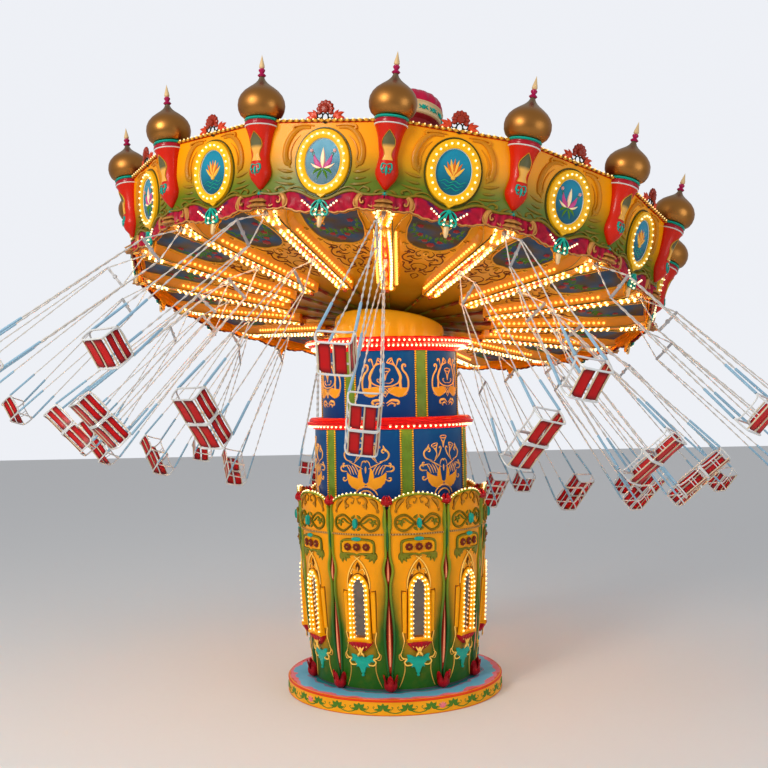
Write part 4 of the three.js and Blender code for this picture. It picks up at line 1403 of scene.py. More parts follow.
def medallion_ring():
    sections = [(0.29, 0.36, 0.02), (0.295, 0.367, 0.06), (0.33, 0.4, 0.075), (0.4, 0.47, 0.075),
        (0.435, 0.505, 0.06), (0.445, 0.515, 0.0), (0.29, 0.36, 0.0)]
    return loft([stack(oval(wide, tall), out) for wide, tall, out in sections], closed=True)


def medallion_sky():
    field = plate(oval(0.3, 0.37), 0.0, 0.03)
    return field.shaded(lambda p: np.clip((MEDALLION_HEIGHT + 0.15 - p[:, 1]) / 0.35, 0, 1))


def ring_tip():
    """The pointed foot of a medallion's ring."""
    up = MEDALLION_HEIGHT
    outline = [(-0.13, up - 0.47), (0.0, up - 0.565), (0.13, up - 0.47), (0.0, up - 0.44)]
    return plate(outline, 0.0, 0.055, 0.012)


def medallion_rim():
    """The pale line round a medallion's painted field."""
    ring = oval(0.294, 0.364, 44)
    return relief(np.vstack([ring, ring[:1]]), 0.016, 0.01, (1, 1), out=0.034)


def medallion_shell():
    """A fan shell over three waves, on every other board."""
    shell = Shape()
    for index in range(7):
        angle = math.pi / 2 + (index - 3) * 0.36
        tip = (0.19 * math.cos(angle), MEDALLION_HEIGHT - 0.03 + 0.24 * math.sin(angle))
        shell.join(leaf((0, MEDALLION_HEIGHT - 0.09), tip, 0.06, 0, 0.02, shade=1.0 if index % 2 else 0.0))
    shell.join(disc_plate((0, MEDALLION_HEIGHT - 0.09), 0.035, 0, 0.03, sides=14))
    return shell.raised(0.03)


def medallion_flower():
    """A lily with a bud on each side, on the boards between."""
    up = MEDALLION_HEIGHT
    lily = Shape()
    for side in (-1, 1):
        lily.join(leaf((0, up - 0.1), (side * 0.15, up + 0.12), 0.085, -0.25 * side, 0.024, shade=1.0))
        lily.join(leaf((side * 0.01, up - 0.1), (side * 0.2, up - 0.02), 0.05, -0.2 * side, 0.02))
        lily.join(disc_plate((side * 0.19, up + 0.17), 0.028, 0, 0.024, 5, 0.2, shade=0.6))
    lily.join(leaf((0, up - 0.1), (0, up + 0.22), 0.09, 0, 0.03))
    return lily.raised(0.03)


def medallion_leaves():
    """Green leaves under the lily."""
    up = MEDALLION_HEIGHT
    return both(
        leaf((0.0, up - 0.1), (0.16, up - 0.2), 0.06, 0.3, 0.016),
        leaf((0.0, up - 0.12), (0.08, up - 0.28), 0.05, 0.2, 0.016),
        hook([(0.0, up - 0.08), (0.1, up + 0.02), (0.17, up + 0.1)], (0.03, 4), 0.014, 0.01),
    ).raised(0.03)


def medallion_waves():
    waves = Shape()
    for index in range(3):
        up = MEDALLION_HEIGHT - 0.15 - 0.055 * index
        reach = 0.23 - 0.05 * index
        line = [(x, up + 0.018 * math.sin(x * 38 + index)) for x in np.linspace(-reach, reach, 22)]
        waves.join(relief(line, 0.028, 0.012))
    return waves.raised(0.03)


def ring_outline():
    ring = oval(0.462, 0.532, 44)
    return relief(np.vstack([ring, ring[:1]]), 0.03, 0.024, (1, 1))


def bracket_scrolls():
    """The carved C-scrolls that frame a medallion, rolled over at the top, with a finer line inside."""
    half = Shape()
    up = MEDALLION_HEIGHT
    line = [(0.24, up + 0.535), (0.4, up + 0.53), (0.53, up + 0.44), (0.62, up + 0.28), (0.645, up + 0.12),
        (0.62, up + 0.0)]
    half.join(hook(line, (0.04, -3.6), 0.1, 0.05, (0.45, 0.6), steps=5))
    half.join(hook([(0.18, up + 0.565), (0.34, up + 0.58), (0.5, up + 0.56)], (0.034, -4.0), 0.055, 0.05,
        (0.5, 0.8)))
    line = [(0.4, up + 0.42), (0.5, up + 0.31), (0.555, up + 0.16), (0.545, up + 0.04)]
    half.join(hook(line, (0.024, 3.0), 0.034, 0.024))
    half.join(leaf((0.6, up + 0.06), (0.53, up - 0.1), 0.07, 0.2, 0.036))
    for base, tip, width in [((0.49, up - 0.15), (0.78, up - 0.1), 0.06), ((0.5, up - 0.25),
            (0.73, up - 0.23), 0.05), ((0.44, up - 0.34), (0.82, up - 0.3), 0.055)]:
        half.join(leaf(base, tip, width, -0.1, 0.036))
    return half.mirrored().shaded(carving_shade)


def carving_shade(points):
    """The same change of colour as on the board, for a flat design."""
    return foot_shade(points[:, 1])


MOULDING = [(0.0, 0.79), (0.1, 0.795), (0.2, 0.835), (0.32, 0.89), (0.44, 0.92), (0.55, 0.92), (0.66, 0.885),
    (0.78, 0.865), (0.9, 0.87), (1.03, 0.88)]


def moulding_height(across):
    line = smooth(MOULDING)
    return np.interp(across, line[:, 0], line[:, 1])


def lower_moulding():
    """The waving moulding along a board's foot, lowest at the medallion, with curls on its crests."""
    return both(
        ribbon(MOULDING, 0.055, 0.05, (0.9, 0.8), out=0.03),
        hook([(0.24, 0.88), (0.32, 0.96), (0.44, 0.99), (0.54, 0.96)], (0.03, -4), 0.036, 0.036),
        hook([(0.6, 0.93), (0.68, 0.99), (0.76, 0.97)], (0.03, -4), 0.045, 0.036),
        leaf((0.84, 0.88), (0.98, 0.95), 0.05, 0.2, 0.03),
    )


def crest_petal(base, angle, length, width):
    """A petal that is widest near its rounded tip."""
    share = np.linspace(0, 1, 9)[:, None]
    line = np.asarray(base) + share * length * np.array([math.cos(angle), math.sin(angle)])
    shape = lambda s: 0.2 + 0.8 * np.sin(math.pi * np.clip(s, 0, 1) ** 2.2) ** 0.8 * (s < 0.999)
    return relief(line, width, 0.034, profile=shape)


def crest_fan():
    """A ribbed rose over a crest, with rounded lobes and a raised heart."""
    base = (0.0, BOARD_HIGH + 0.2)
    fan = Shape()
    for index in range(9):
        angle = math.pi / 2 + (index - 4) * 0.5
        fan.join(crest_petal(base, angle, 0.15, 0.085))
    fan.join(disc_plate(base, 0.06, 0, 0.06, 8, 0.12, sides=24))
    return fan.raised(0.03)


def crest_ironwork():
    """Open ironwork under the rose: a tall ring between two small ones."""
    ironwork = Shape()
    rings = [(0.0, 0.07, 0.05, 0.075), (-0.09, 0.11, 0.045, 0.045), (0.09, 0.11, 0.045, 0.045)]
    for across, up, wide, tall in rings:
        ironwork.join(relief(arc((across, BOARD_HIGH + up), wide, tall, 0, TAU, 20), 0.024, 0.018, (1, 1)))
    line = [(0.04, BOARD_HIGH + 0.01), (0.12, BOARD_HIGH + 0.03), (0.18, BOARD_HIGH + 0.1)]
    half = hook(line, (0.03, 4), 0.026, 0.018)
    return ironwork.join(half.mirrored()).raised(0.02)


def crest_leaves():
    half = Shape()
    base = (0.15, BOARD_HIGH + 0.05)
    for tip, width in [((0.31, BOARD_HIGH + 0.16), 0.085), ((0.33, BOARD_HIGH + 0.06), 0.08),
            ((0.22, BOARD_HIGH + 0.2), 0.07)]:
        half.join(leaf(base, tip, width, 0.25, 0.036, shade=0.3))
    return half.mirrored().raised(0.01)


def board_beading():
    """The gilt scallops along a board's top edge."""
    width = corner_radius(BOARD_HIGH) * math.sin(BAY / 2) - 0.24
    line = stack(np.linspace(-width, width, 60), BOARD_HIGH + 0.03, 0.03)
    return rope(line, 0.026, 0.052)


def medallion_bulb_places():
    return np.array([[p[0], p[1], 0.085] for p in oval(0.366, 0.437, 24)])


def edge_bulb_places():
    width = corner_radius(BOARD_HIGH) * math.sin(BAY / 2) - 0.24
    across = np.linspace(-width, width, 19)
    return stack(across, BOARD_HIGH + 0.045, 0.055)


def bow_bulb_places():
    """Two arms of bulbs that run up from the bow, and four on its loops."""
    arms = [(0.15, 0.655), (0.195, 0.688), (0.24, 0.721), (0.285, 0.754), (0.055, 0.62), (0.062, 0.545)]
    return np.array([[side * x, z, 0.11] for side in (-1, 1) for x, z in arms])


def on_boards(name, shape, finish):
    canopy_piece(name, every_bay(shape.laid(on_board), 0.5), finish)


def make_boards():
    canopy_piece("board_skin", board_skin(), "board", ["rounding_boards"], 25)

    def on_every_other(name, shape, finish, first):
        laid = shape.laid(on_board)
        canopy_piece(name, laid.around(BAYS // 2, BAY_PHASE + (first + 0.5) * BAY), finish)

    on_boards("medallion_rings", medallion_ring().join(ring_tip()), "ring_yellow")
    on_boards("medallion_fields", medallion_sky(), "sea")
    on_boards("medallion_rims", medallion_rim(), "white")
    on_every_other("medallion_shells", medallion_shell(), "motif", 0)
    on_every_other("medallion_waves", medallion_waves(), "teal", 0)
    on_every_other("medallion_lilies", medallion_flower(), "lily", 1)
    on_every_other("medallion_leaves", medallion_leaves(), "vine", 1)
    on_boards("medallion_outlines", ring_outline(), "olive_line")
    carving = bracket_scrolls().join(lower_moulding().shaded(carving_shade))
    on_boards("board_carving", carving, "board_carving")
    on_boards("board_beading", board_beading(), "gold")
    on_boards("crest_roses", crest_fan(), "crest_red")
    on_boards("crest_ironwork", crest_ironwork(), "ink")
    on_boards("crest_leaves", crest_leaves(), "orange_leaf")


# Columns and domes

COLUMN_PROFILE = [
    (0.0, 0.935), (0.04, 0.955), (0.075, 1.0), (0.15, 1.09), (0.182, 1.17), (0.185, 1.23), (0.165, 1.33),
    (0.15, 1.42), (0.15, 1.48), (0.168, 1.6), (0.19, 1.73), (0.21, 1.8), (0.235, 1.87), (0.262, 1.925),
]
COLUMN_FOOT_RADIUS = 5.284
COLUMN_FOOT = 0.843


def on_column(points):
    """A piece that is turned about a leaning column. Its third value is the height in the canopy's frame."""
    size = math.hypot(1, SPLAY)
    out = -points[:, 1] / size
    axis = COLUMN_FOOT_RADIUS + SPLAY * (points[:, 2] - COLUMN_FOOT)
    return stack(points[:, 0], -(axis + out), points[:, 2] - out * SPLAY)


def on_column_face(points):
    radii, heights = zip(*COLUMN_PROFILE)
    radius = np.interp(points[:, 1], heights, radii) + points[:, 2]
    angle = points[:, 0] / np.maximum(radius, 0.05)
    return on_column(round_axis(radius, angle, points[:, 1]))


def banded(bands, sides=24):
    return lathe(bands, sides).laid(on_column)


def niche():
    """A pointed niche on a column, over the bright flame that fades from it."""
    heights = [1.37, 1.4, 1.46, 1.52, 1.56, 1.6, 1.64, 1.68, 1.73, 1.77, 1.8]
    halves = [0.085, 0.07, 0.05, 0.062, 0.085, 0.1, 0.102, 0.098, 0.068, 0.035, 0.002]
    field = slab(heights, halves, 0.006, columns=5, steps=2)
    return field.shaded(lambda p: np.clip((1.62 - p[:, 1]) / 0.06, 0, 1))


def niche_rim():
    """The gilt rim of a niche."""
    line = [(0.0, 1.82), (0.06, 1.75), (0.105, 1.68), (0.108, 1.6), (0.07, 1.52), (0.056, 1.45), (0.09, 1.37)]
    return both(ribbon(line, 0.02, 0.016, (0.8, 0.8)))


def column_emblem():
    """A teal emblem low on a column: two curls round a drop."""
    return both(
        hook([(0.0, 1.3), (0.07, 1.315), (0.09, 1.25)], (0.03, -4.2), 0.036, 0.02),
        hook([(0.01, 1.2), (0.04, 1.17), (0.07, 1.19)], (0.018, 4), 0.026, 0.018),
    ).join(leaf((0.0, 1.29), (0.0, 1.13), 0.05, 0, 0.024))


def column_collar():
    """The ruffled dark collar under a column's foot, in two tiers."""
    sides = 40
    angle = np.arange(sides) * TAU / sides
    rings = []
    for radius, height, depth in [(0.03, 0.81, 0.0), (0.07, 0.8, 0.05), (0.13, 0.775, 0.1),
            (0.175, 0.75, 0.1), (0.17, 0.735, 0.1), (0.11, 0.725, 0.05), (0.15, 0.705, 0.1),
            (0.19, 0.675, 0.1), (0.185, 0.66, 0.12), (0.12, 0.66, 0.1), (0.04, 0.66, 0.0)]:
        around = radius * (1 + depth * np.cos(angle * 8))
        rings.append(round_axis(around, angle, height))
    return loft(rings).laid(on_column)


def column_pendant():
    """The gilt knob that hangs under a column's collar."""
    profile = [(0.0, 0.665), (0.06, 0.663), (0.078, 0.652), (0.075, 0.638), (0.05, 0.628), (0.0, 0.625)]
    return banded(profile, 20)


def make_columns():
    low = BOARD_HIGH + 0.0005
    rim = corner_radius(low)
    rail = [(rim - 0.06, low), (rim + 0.02, low), (rim + 0.02, low + 0.03), (rim - 0.06, low + 0.03)]
    shafts = every_bay(lathe([(0.0, 1.925)] + COLUMN_PROFILE[::-1], 28).laid(on_column))
    shafts.join(canopy_ring(rail + rail[:1]))
    canopy_piece("column_shafts", shafts, "flame", ["columns"])

    def on_columns(name, shape, finish):
        canopy_piece(name, every_bay(shape), finish)

    dome = [(0.0, 2.04), (0.2, 2.043), (0.28, 2.06), (0.34, 2.11), (0.372, 2.18), (0.384, 2.26),
        (0.374, 2.34), (0.34, 2.415), (0.285, 2.48), (0.215, 2.535), (0.15, 2.58), (0.1, 2.62), (0.064, 2.66),
        (0.044, 2.7), (0.036, 2.735), (0.0, 2.74)]
    # The top of a dome turns greyer: painted reflection of the pale sky.
    dome = banded(dome, 36).shaded(lambda p: np.clip((p[:, 2] - 2.36) / 0.3, 0, 1))
    on_columns("domes", dome, "bronze")
    red = [(0.0, 1.925), (0.265, 1.93), (0.272, 1.955), (0.265, 1.985), (0.24, 1.995), (0.24, 2.01),
        (0.0, 2.01)]
    on_columns("column_flanges", banded(red, 32), "flange")
    teal = [(0.0, 2.005), (0.255, 2.007), (0.275, 2.022), (0.265, 2.042), (0.0, 2.045)]
    on_columns("dome_seats", banded(teal, 32), "teal")
    cream = [(0.255, 1.912), (0.268, 1.918), (0.268, 1.93), (0.255, 1.934), (0.255, 1.912)]
    on_columns("column_cream_lines", banded(cream, 32), "white")
    foot = [(0.0, 0.8), (0.03, 0.8), (0.05, 0.84), (0.046, 0.87), (0.0, 0.94)]
    knob = [(0.044, 0.85), (0.07, 0.868), (0.05, 0.9), (0.044, 0.85)]
    on_columns("column_knobs", banded(foot, 16), "ink")
    on_columns("column_knob_rings", banded(knob, 16), "teal")
    beads = banded([(0.0, 2.715), (0.052, 2.72), (0.07, 2.74), (0.052, 2.762), (0.03, 2.778), (0.052, 2.81),
        (0.054, 2.83), (0.036, 2.85), (0.0, 2.855)], 18)
    on_columns("dome_beads", beads, "magenta")
    spire = banded([(0.0, 2.85), (0.032, 2.852), (0.046, 2.872), (0.042, 2.905), (0.026, 2.965), (0.01, 3.03),
        (0.0, 3.07)], 16)
    on_columns("dome_spires", spire, "spire")
    on_columns("column_niches", niche().laid(on_column_face), "niche")
    on_columns("column_niche_rims", niche_rim().laid(on_column_face), "gold")
    line = relief([(-0.1, 1.36), (0.1, 1.36)], 0.016, 0.016)
    on_columns("column_niche_lines", line.laid(on_column_face), "ink")
    on_columns("column_emblems", column_emblem().laid(on_column_face), "teal")
    on_columns("column_collars", column_collar(), "edge_gold")
    on_columns("column_pendants", column_pendant(), "bright_gold")


# Drapery under the boards

DRAPE_EDGE = [(0.0, 0.6), (0.1, 0.6), (0.26, 0.585), (0.44, 0.61), (0.54, 0.645), (0.6, 0.66), (0.7, 0.645),
    (0.82, 0.63), (0.92, 0.642), (1.03, 0.648)]


def drape_low(across):
    """The lower edge of the drapery: a deep swag beside the bow and a small one beside the column."""
    across = np.asarray(across, float)
    low = np.interp(across, *zip(*DRAPE_EDGE))
    return low + 0.008 * np.cos(across * 40)


def drape_shade(points):
    """A dark stripe that slants from the moulding to the bow, and mauve in the folds."""
    across = np.abs(points[:, 0])
    slant = np.abs(points[:, 1] - (0.68 + (across - 0.14) * 0.92))
    stripe = np.clip(1.5 - slant / 0.03, 0, 1) * (across < 0.46)
    # Darker where a fold lies deep: painted shade.
    fold = 0.3 * np.clip(1.0 - points[:, 2] / 0.06, 0, 1)
    return np.clip(stripe + fold + 0.2 * np.clip(across - 0.6, 0, 1), 0, 1)


def swag(lining=False):
    """Pleated drapery from the bow to a column. The folds fan out from the bow, then hang straight."""
    columns = 20 if lining else 40
    rows = 3 if lining else 6
    across = np.linspace(0.0, 1.03, columns)
    low = drape_low(across)
    high = moulding_height(across)
    rings = []
    for a, l, top in zip(across, low, high):
        v = np.linspace(0, 1, rows)
        height = top + (l - top) * v
        fan = np.arctan2(1.0 - height, a + 0.02) * 24
        fold = np.where(a < 0.52, np.sin(fan), np.sin(a * 50 + 1.5 * v))
        pleat = 0.03 + 0.026 * fold * (0.35 + 0.65 * v) + 0.045 * np.sin(v * math.pi * 0.8)
        if lining:
            pleat = np.minimum(pleat, 0.03) - 0.024
        front = stack(a, height, pleat)
        back = front[::-1] - [0, 0, 0.006 if lining else 0.016]
        rings.append(np.vstack([front, back]))
    return loft(rings).shaded(drape_shade).mirrored()


def swag_edging():
    """The thin gilt hem of the drapery, and the rolled ears between its two swags."""
    across = np.linspace(0.0, 1.03, 34)
    roll = smooth([(0.69, 0.885), (0.635, 0.84), (0.605, 0.77), (0.62, 0.7), (0.66, 0.655)])
    full = lambda s: 0.45 + 0.55 * np.sin(math.pi * s ** 0.9)
    return both(
        relief(stack(across, drape_low(across)), 0.036, 0.028, (0.9, 0.9), out=0.055),
        relief(roll, 0.12, 0.075, out=0.03, steps=5, profile=full),
        hook([(0.69, 0.84), (0.66, 0.8), (0.665, 0.75)], (0.032, 4.6), 0.036, 0.03, out=0.085),
        hook([(0.555, 0.8), (0.55, 0.74), (0.565, 0.69)], (0.024, 3.6), 0.036, 0.03, out=0.06),
        hook([(0.74, 0.8), (0.77, 0.72), (0.83, 0.68)], (0.026, 3.8), 0.032, 0.03, out=0.05),
    )


def swag_lining():
    """The orange back of the drapery and of the bow's board, which show from under the canopy."""
    lining = swag(lining=True).shaded(0.0)
    across = np.linspace(0.0, 1.03, 32)
    hem = relief(stack(across, drape_low(across)), 0.032, 0.01, (0.9, 0.9))
    ear = hook([(0.78, 0.8), (0.66, 0.8), (0.6, 0.74)], (0.05, 4.0), 0.1, 0.012)
    backing = [(-0.1, 0.74), (-0.14, 0.64), (-0.13, 0.56), (-0.06, 0.52), (-0.035, 0.44), (0.0, 0.38),
        (0.035, 0.44), (0.06, 0.52), (0.13, 0.56), (0.14, 0.64), (0.1, 0.74)]
    return lining.join(hem.join(ear).mirrored().shaded(0.4), plate(backing, -0.02, 0.02, 0.006))


def bow():
    """A teal ribbon bow: two long loops, a bar across them and two tails."""
    loop = [(0.015, 0.77), (0.04, 0.71), (0.075, 0.66), (0.12, 0.62), (0.135, 0.57), (0.1, 0.54),
        (0.055, 0.575), (0.04, 0.65), (0.02, 0.72)]
    return both(
        ribbon(loop, 0.042, 0.034, (0.9, 0.8)),
        ribbon([(0.0, 0.54), (0.05, 0.545), (0.1, 0.57)], 0.042, 0.034, (0.9, 0.8)),
        ribbon([(0.02, 0.77), (0.08, 0.74), (0.13, 0.68), (0.14, 0.61)], 0.034, 0.03, (0.8, 0.8)),
    ).join(disc_plate((0, 0.75), 0.036, 0, 0.05, sides=14)).raised(0.075)


def tassel():
    body = lathe([(0.0, 0.33), (0.018, 0.335), (0.03, 0.36), (0.04, 0.42), (0.048, 0.5), (0.05, 0.56),
        (0.03, 0.59), (0.0, 0.6)], 14)
    out = corner_radius(0.6) * math.cos(BAY / 2) + 0.02
    return body.laid(lambda p: stack(p[:, 0], p[:, 1] - out, p[:, 2]))


def tassel_curls():
    return both(
        hook([(0.0, 0.44), (0.06, 0.5), (0.1, 0.56)], (0.03, 4), 0.03, 0.02),
        hook([(0.0, 0.38), (0.05, 0.42)], (0.022, -4), 0.022, 0.016),
    ).raised(0.03)


def inner_fringe():
    """The scalloped tongues inside the boards."""
    hem = Shape()
    for index in range(5):
        middle = -0.8 + 0.4 * index
        half = 0.19
        edge = [(middle + half, 0.8), (middle - half, 0.8)]
        for k in range(11):
            turn = math.pi * k / 10
            edge.append((middle - half * math.cos(turn), 0.73 - 0.06 * math.sin(turn) ** 0.7))
        hem.join(plate(edge, -0.075, -0.055, 0.004))
    return hem


def make_drapery():
    out = corner_radius(0.74)
    batten = canopy_ring([(out - 0.04, 0.65), (out - 0.015, 0.65), (out - 0.01, 0.7395), (out - 0.04, 0.7395),
        (out - 0.04, 0.65)])
    # The batten's orange, like the linings', is partly painted bulb light.
    canopy_piece("drapery_batten", batten, "fringe", ["valance"])
    on_boards("swags", swag(), "burgundy")
    on_boards("swag_linings", swag_lining(), "fringe")
    on_boards("swag_edging", swag_edging(), "edge_gold")
    on_boards("bows", bow(), "teal")
    on_boards("tassel_curls", tassel_curls(), "gold")
    on_boards("inner_fringe", inner_fringe(), "fringe")
    canopy_piece("tassels", every_bay(tassel(), 0.5), "spire")


# Sweeps and ceiling

def sweep_half_width(radius):
    """A sweep is narrow for most of its length and flares like a trumpet at its outer end."""
    return 0.15 + 0.3 * np.clip((np.asarray(radius, float) - 4.3) / 0.85, 0, 1) ** 2.2


CHEEK_FLARE = 0.085


def sweep_body():
    """A sweep: its cheeks flare towards the ceiling."""
    radii = np.concatenate([np.linspace(SWEEP_INNER, 4.2, 12), np.linspace(4.3, 5.14, 10)])
    rings = []
    for radius in radii:
        half = float(sweep_half_width(radius))
        top = float(ceiling_height(radius)) + 0.004
        low = float(sweep_bottom(radius))
        soft = 0.035
        flare = half + CHEEK_FLARE * min(1.0, (radius - SWEEP_INNER) / 0.5 + 0.15)
        section = [(-flare, top), (-half - (flare - half) * 0.25, (top + low) / 2), (-half, low + soft),
            (-half + soft * 0.3, low + soft * 0.3), (-half + soft, low)]
        section += [(-x, z) for x, z in section[::-1]]
        rings.append([(x, -radius, z) for x, z in section])
    return loft(rings)


def sweep_lines(inset, width, start, end, flares=True):
    """Half of the lines along a sweep's edge."""
    radii = np.linspace(start, end, 28)
    edge = sweep_half_width(radii if flares else np.minimum(radii, 4.45))
    return relief(stack(np.maximum(edge - inset, 0.02), radii), width, width * 0.7, (0.6, 0.9))


def flame_strip():
    """The bright flames down the middle of a sweep's underside, pale at the outer end."""
    radii = np.linspace(SWEEP_INNER + 0.12, 4.6, 24)
    strip = relief(stack(0.0, radii), 0.13, 0.006, (0.6, 0.8))
    strip.shaded(lambda p: np.clip((p[:, 1] - 3.9) / 0.6, 0, 1) * 0.7)
    for index in range(6):
        start = SWEEP_INNER + 0.2 + index * 0.4
        strip.join(leaf((0, start), (0, start + 0.38), 0.07, 0, 0.014, shade=1.0))
    return strip


def sweep_tip():
    """The carved end of a sweep, where its tie goes in."""
    start = SWEEP_INNER
    return both(
        hook([(0.0, start + 0.02), (0.09, start + 0.06), (0.13, start + 0.2)], (0.035, 4), 0.04, 0.03),
        leaf((0.0, start + 0.05), (0.06, start + 0.24), 0.06, 0.2, 0.03),
    )


def sweep_bulb_places():
    """Two rows of bulbs that bow out a little, then the small cluster at a sweep's outer end."""
    radii = np.arange(SWEEP_INNER + 0.13, 4.56, 0.125)
    bow_out = 0.068 + 0.034 * np.sin(np.clip((radii - SWEEP_INNER) / 2.5, 0, 1) * math.pi)
    rows = [stack(side * bow_out, radii, 0.012) for side in (-1, 1)]
    for side in (-1, 1):
        share = np.linspace(0, 1, 4)
        rows.append(stack(side * (0.06 + 0.09 * share), 4.72 + 0.34 * share, 0.015))
    return np.vstack(rows)


def sweep_side_bulb_places():
    radii = np.arange(SWEEP_INNER + 0.16, 4.4, 0.1)
    middle = (ceiling_height(radii) + sweep_bottom(radii)) / 2 - 0.005
    across = 0.15 + CHEEK_FLARE * 0.3
    return np.vstack([stack(side * across, -radii, middle) for side in (-1, 1)])


def hanger_boxes():
    """A forked bracket under a sweep for each chair."""
    forks = Shape()
    for radius in (5.07, 3.4):
        low = float(sweep_bottom(radius)) - 0.072
        high = float(sweep_bottom(radius)) + 0.02
        for side in (-1, 1):
            outline = [(-0.03, low + 0.02), (-0.015, low), (0.015, low), (0.03, low + 0.02), (0.03, high),
                (-0.03, high)]
            fork = plate(outline, side * 0.0265 - 0.008, side * 0.0265 + 0.008, 0.002)
            forks.join(fork.laid(lambda p: stack(p[:, 0], p[:, 2] - radius, p[:, 1])))
    return forks


def on_facet(points):
    """The flat underside of one bay of the ceiling. Up is the distance from the axis at mid-bay."""
    height = ceiling_height(points[:, 1] / math.cos(BAY / 2)) - points[:, 2]
    return stack(points[:, 0], -points[:, 1], height)


def soffit_edge():
    """Half of the wide, scalloped edge between the dark outer panel and the bronze ceiling."""
    return smooth([(0.0, 3.68), (0.13, 3.67), (0.26, 3.73), (0.36, 3.83), (0.43, 3.97), (0.47, 4.15),
        (0.5, 4.4), (0.5, 4.72), (0.56, 5.04)], 4)


def soffit_panel():
    """The dark panel at the outer end of a bay, shaded in soft bands of colour."""
    line = soffit_edge()
    field = slab(line[:, 1], line[:, 0] + 0.004, 0.012, 0.0, 7, 1)

    def bands(points):
        across, out = points[:, 0], points[:, 1]
        return np.clip(0.45 + 0.5 * np.sin(across * 7 + out * 9) + 0.3 * np.sin(out * 17), 0, 1)

    return field.shaded(bands)


def soffit_border():
    half = Shape().join(relief(soffit_edge(), 0.034, 0.024, (0.8, 0.8)))
    for at, ahead in [((0.1, 3.68), (0.2, 3.64)), ((0.3, 3.8), (0.4, 3.74)), ((0.46, 4.2), (0.52, 4.14))]:
        half.join(hook([at, ahead], (0.045, 4.6), 0.036, 0.022))
    ring = relief(arc((0.0, 3.5), 0.035, 0.06, 0, TAU, 18), 0.03, 0.02, (1, 1))
    return half.mirrored().join(ring).raised(0.012)


def soffit_garland():
    """Leaves and blossoms over the dark panel, as a plain garden ornament."""
    half = Shape()
    stem = smooth([(0.0, 4.0), (0.1, 4.1), (0.2, 4.08), (0.32, 4.2), (0.4, 4.38), (0.38, 4.6)])
    half.join(relief(stem, 0.022, 0.01))
    for at in range(2, len(stem) - 1, 3):
        base = stem[at]
        half.join(leaf(base, base + [0.03, 0.12], 0.06, 0.2, 0.012, shade=0.2))
        half.join(leaf(base, base + [0.06, -0.1], 0.06, -0.2, 0.012, shade=0.8))
    return half.mirrored().raised(0.012)


def soffit_blossoms():
    half = Shape()
    for across, out in [(0.13, 4.0), (0.25, 4.2), (0.3, 4.5)]:
        half.join(disc_plate((across, out), 0.05, 0, 0.018, 5, 0.2, sides=10))
    return half.mirrored().join(disc_plate((0, 3.86), 0.07, 0, 0.018, 6, 0.2, sides=18)).raised(0.012)


def ceiling_arabesque():
    """Brown scrolls painted on the bronze ceiling, narrowing towards the hub."""
    half = Shape()
    lines = [
        (scroll([(0.4, 3.72), (0.34, 3.58), (0.22, 3.52)], (0.06, 4.8)), 0.03),
        (scroll([(0.1, 3.56), (0.16, 3.46), (0.14, 3.36)], (0.05, -4.6)), 0.028),
        (scroll([(0.3, 3.4), (0.36, 3.26), (0.33, 3.12), (0.22, 3.06)], (0.06, -4.8), (0.045, -4.4)), 0.034),
        (scroll([(0.02, 3.26), (0.1, 3.2), (0.2, 3.24)], (0.045, 4.6)), 0.028),
        (scroll([(0.0, 3.04), (0.1, 3.0), (0.14, 2.9), (0.1, 2.8)], (0.05, -4.6)), 0.03),
        (scroll([(0.28, 2.98), (0.27, 2.82), (0.18, 2.72)], (0.045, -4.6), (0.03, -4)), 0.03),
        (smooth([(0.0, 2.34), (0.07, 2.5), (0.0, 2.6)]), 0.026),
        (scroll([(0.03, 2.68), (0.1, 2.66), (0.16, 2.6)], (0.03, 4.2)), 0.026),
    ]
    for line, width in lines:
        half.join(relief(line, width, 0.014))
    for base, tip in [((0.3, 3.52), (0.26, 3.38)), ((0.2, 3.3), (0.28, 3.2)), ((0.16, 3.06), (0.18, 2.94)),
            ((0.08, 2.78), (0.02, 2.7))]:
        half.join(leaf(base, tip, 0.06, 0.2, 0.012))
    return half.mirrored()


def tie_rods():
    """The turned ties from the hub to the sweeps."""
    radii = np.linspace(HUB_RADIUS + 0.02, SWEEP_INNER + 0.04, 15)
    line = np.array([(0, -r, float(ceiling_height(r)) - 0.04) for r in radii])
    thick = np.array([0.034, 0.034, 0.024, 0.03, 0.022, 0.022, 0.022, 0.034, 0.024, 0.034, 0.024, 0.036,
        0.026, 0.042, 0.034])
    shade = np.repeat((thick < 0.026).astype(float)[:, None], 8, 1)
    return tube(line, thick, 8, shade=shade)


def make_sweeps():
    canopy_piece("sweep_bodies", every_bay(sweep_body()), "cheek", ["sweep_arms"], 30)
    canopy_piece("sweep_ties", every_bay(tie_rods()), "tie")
    canopy_piece("sweep_hangers", every_bay(hanger_boxes()), "spreader")

    def on_sweeps(name, shape, finish):
        canopy_piece(name, every_bay(shape.laid(under_sweep)), finish)

    on_sweeps("sweep_flames", flame_strip(), "hot")
    lines = sweep_lines(0.024, 0.026, SWEEP_INNER + 0.05, 5.1, flares=False).mirrored()
    on_sweeps("sweep_olive_lines", lines, "olive_line")
    gilt = sweep_lines(0.0, 0.02, 4.25, 5.12).mirrored()
    on_sweeps("sweep_gilt_lines", gilt.join(sweep_tip()), "gold")
    knob = disc_plate((0, SWEEP_INNER + 0.02), 0.04, 0.0, 0.06, 6, 0.12, sides=24)
    on_sweeps("sweep_knobs", knob, "tie")


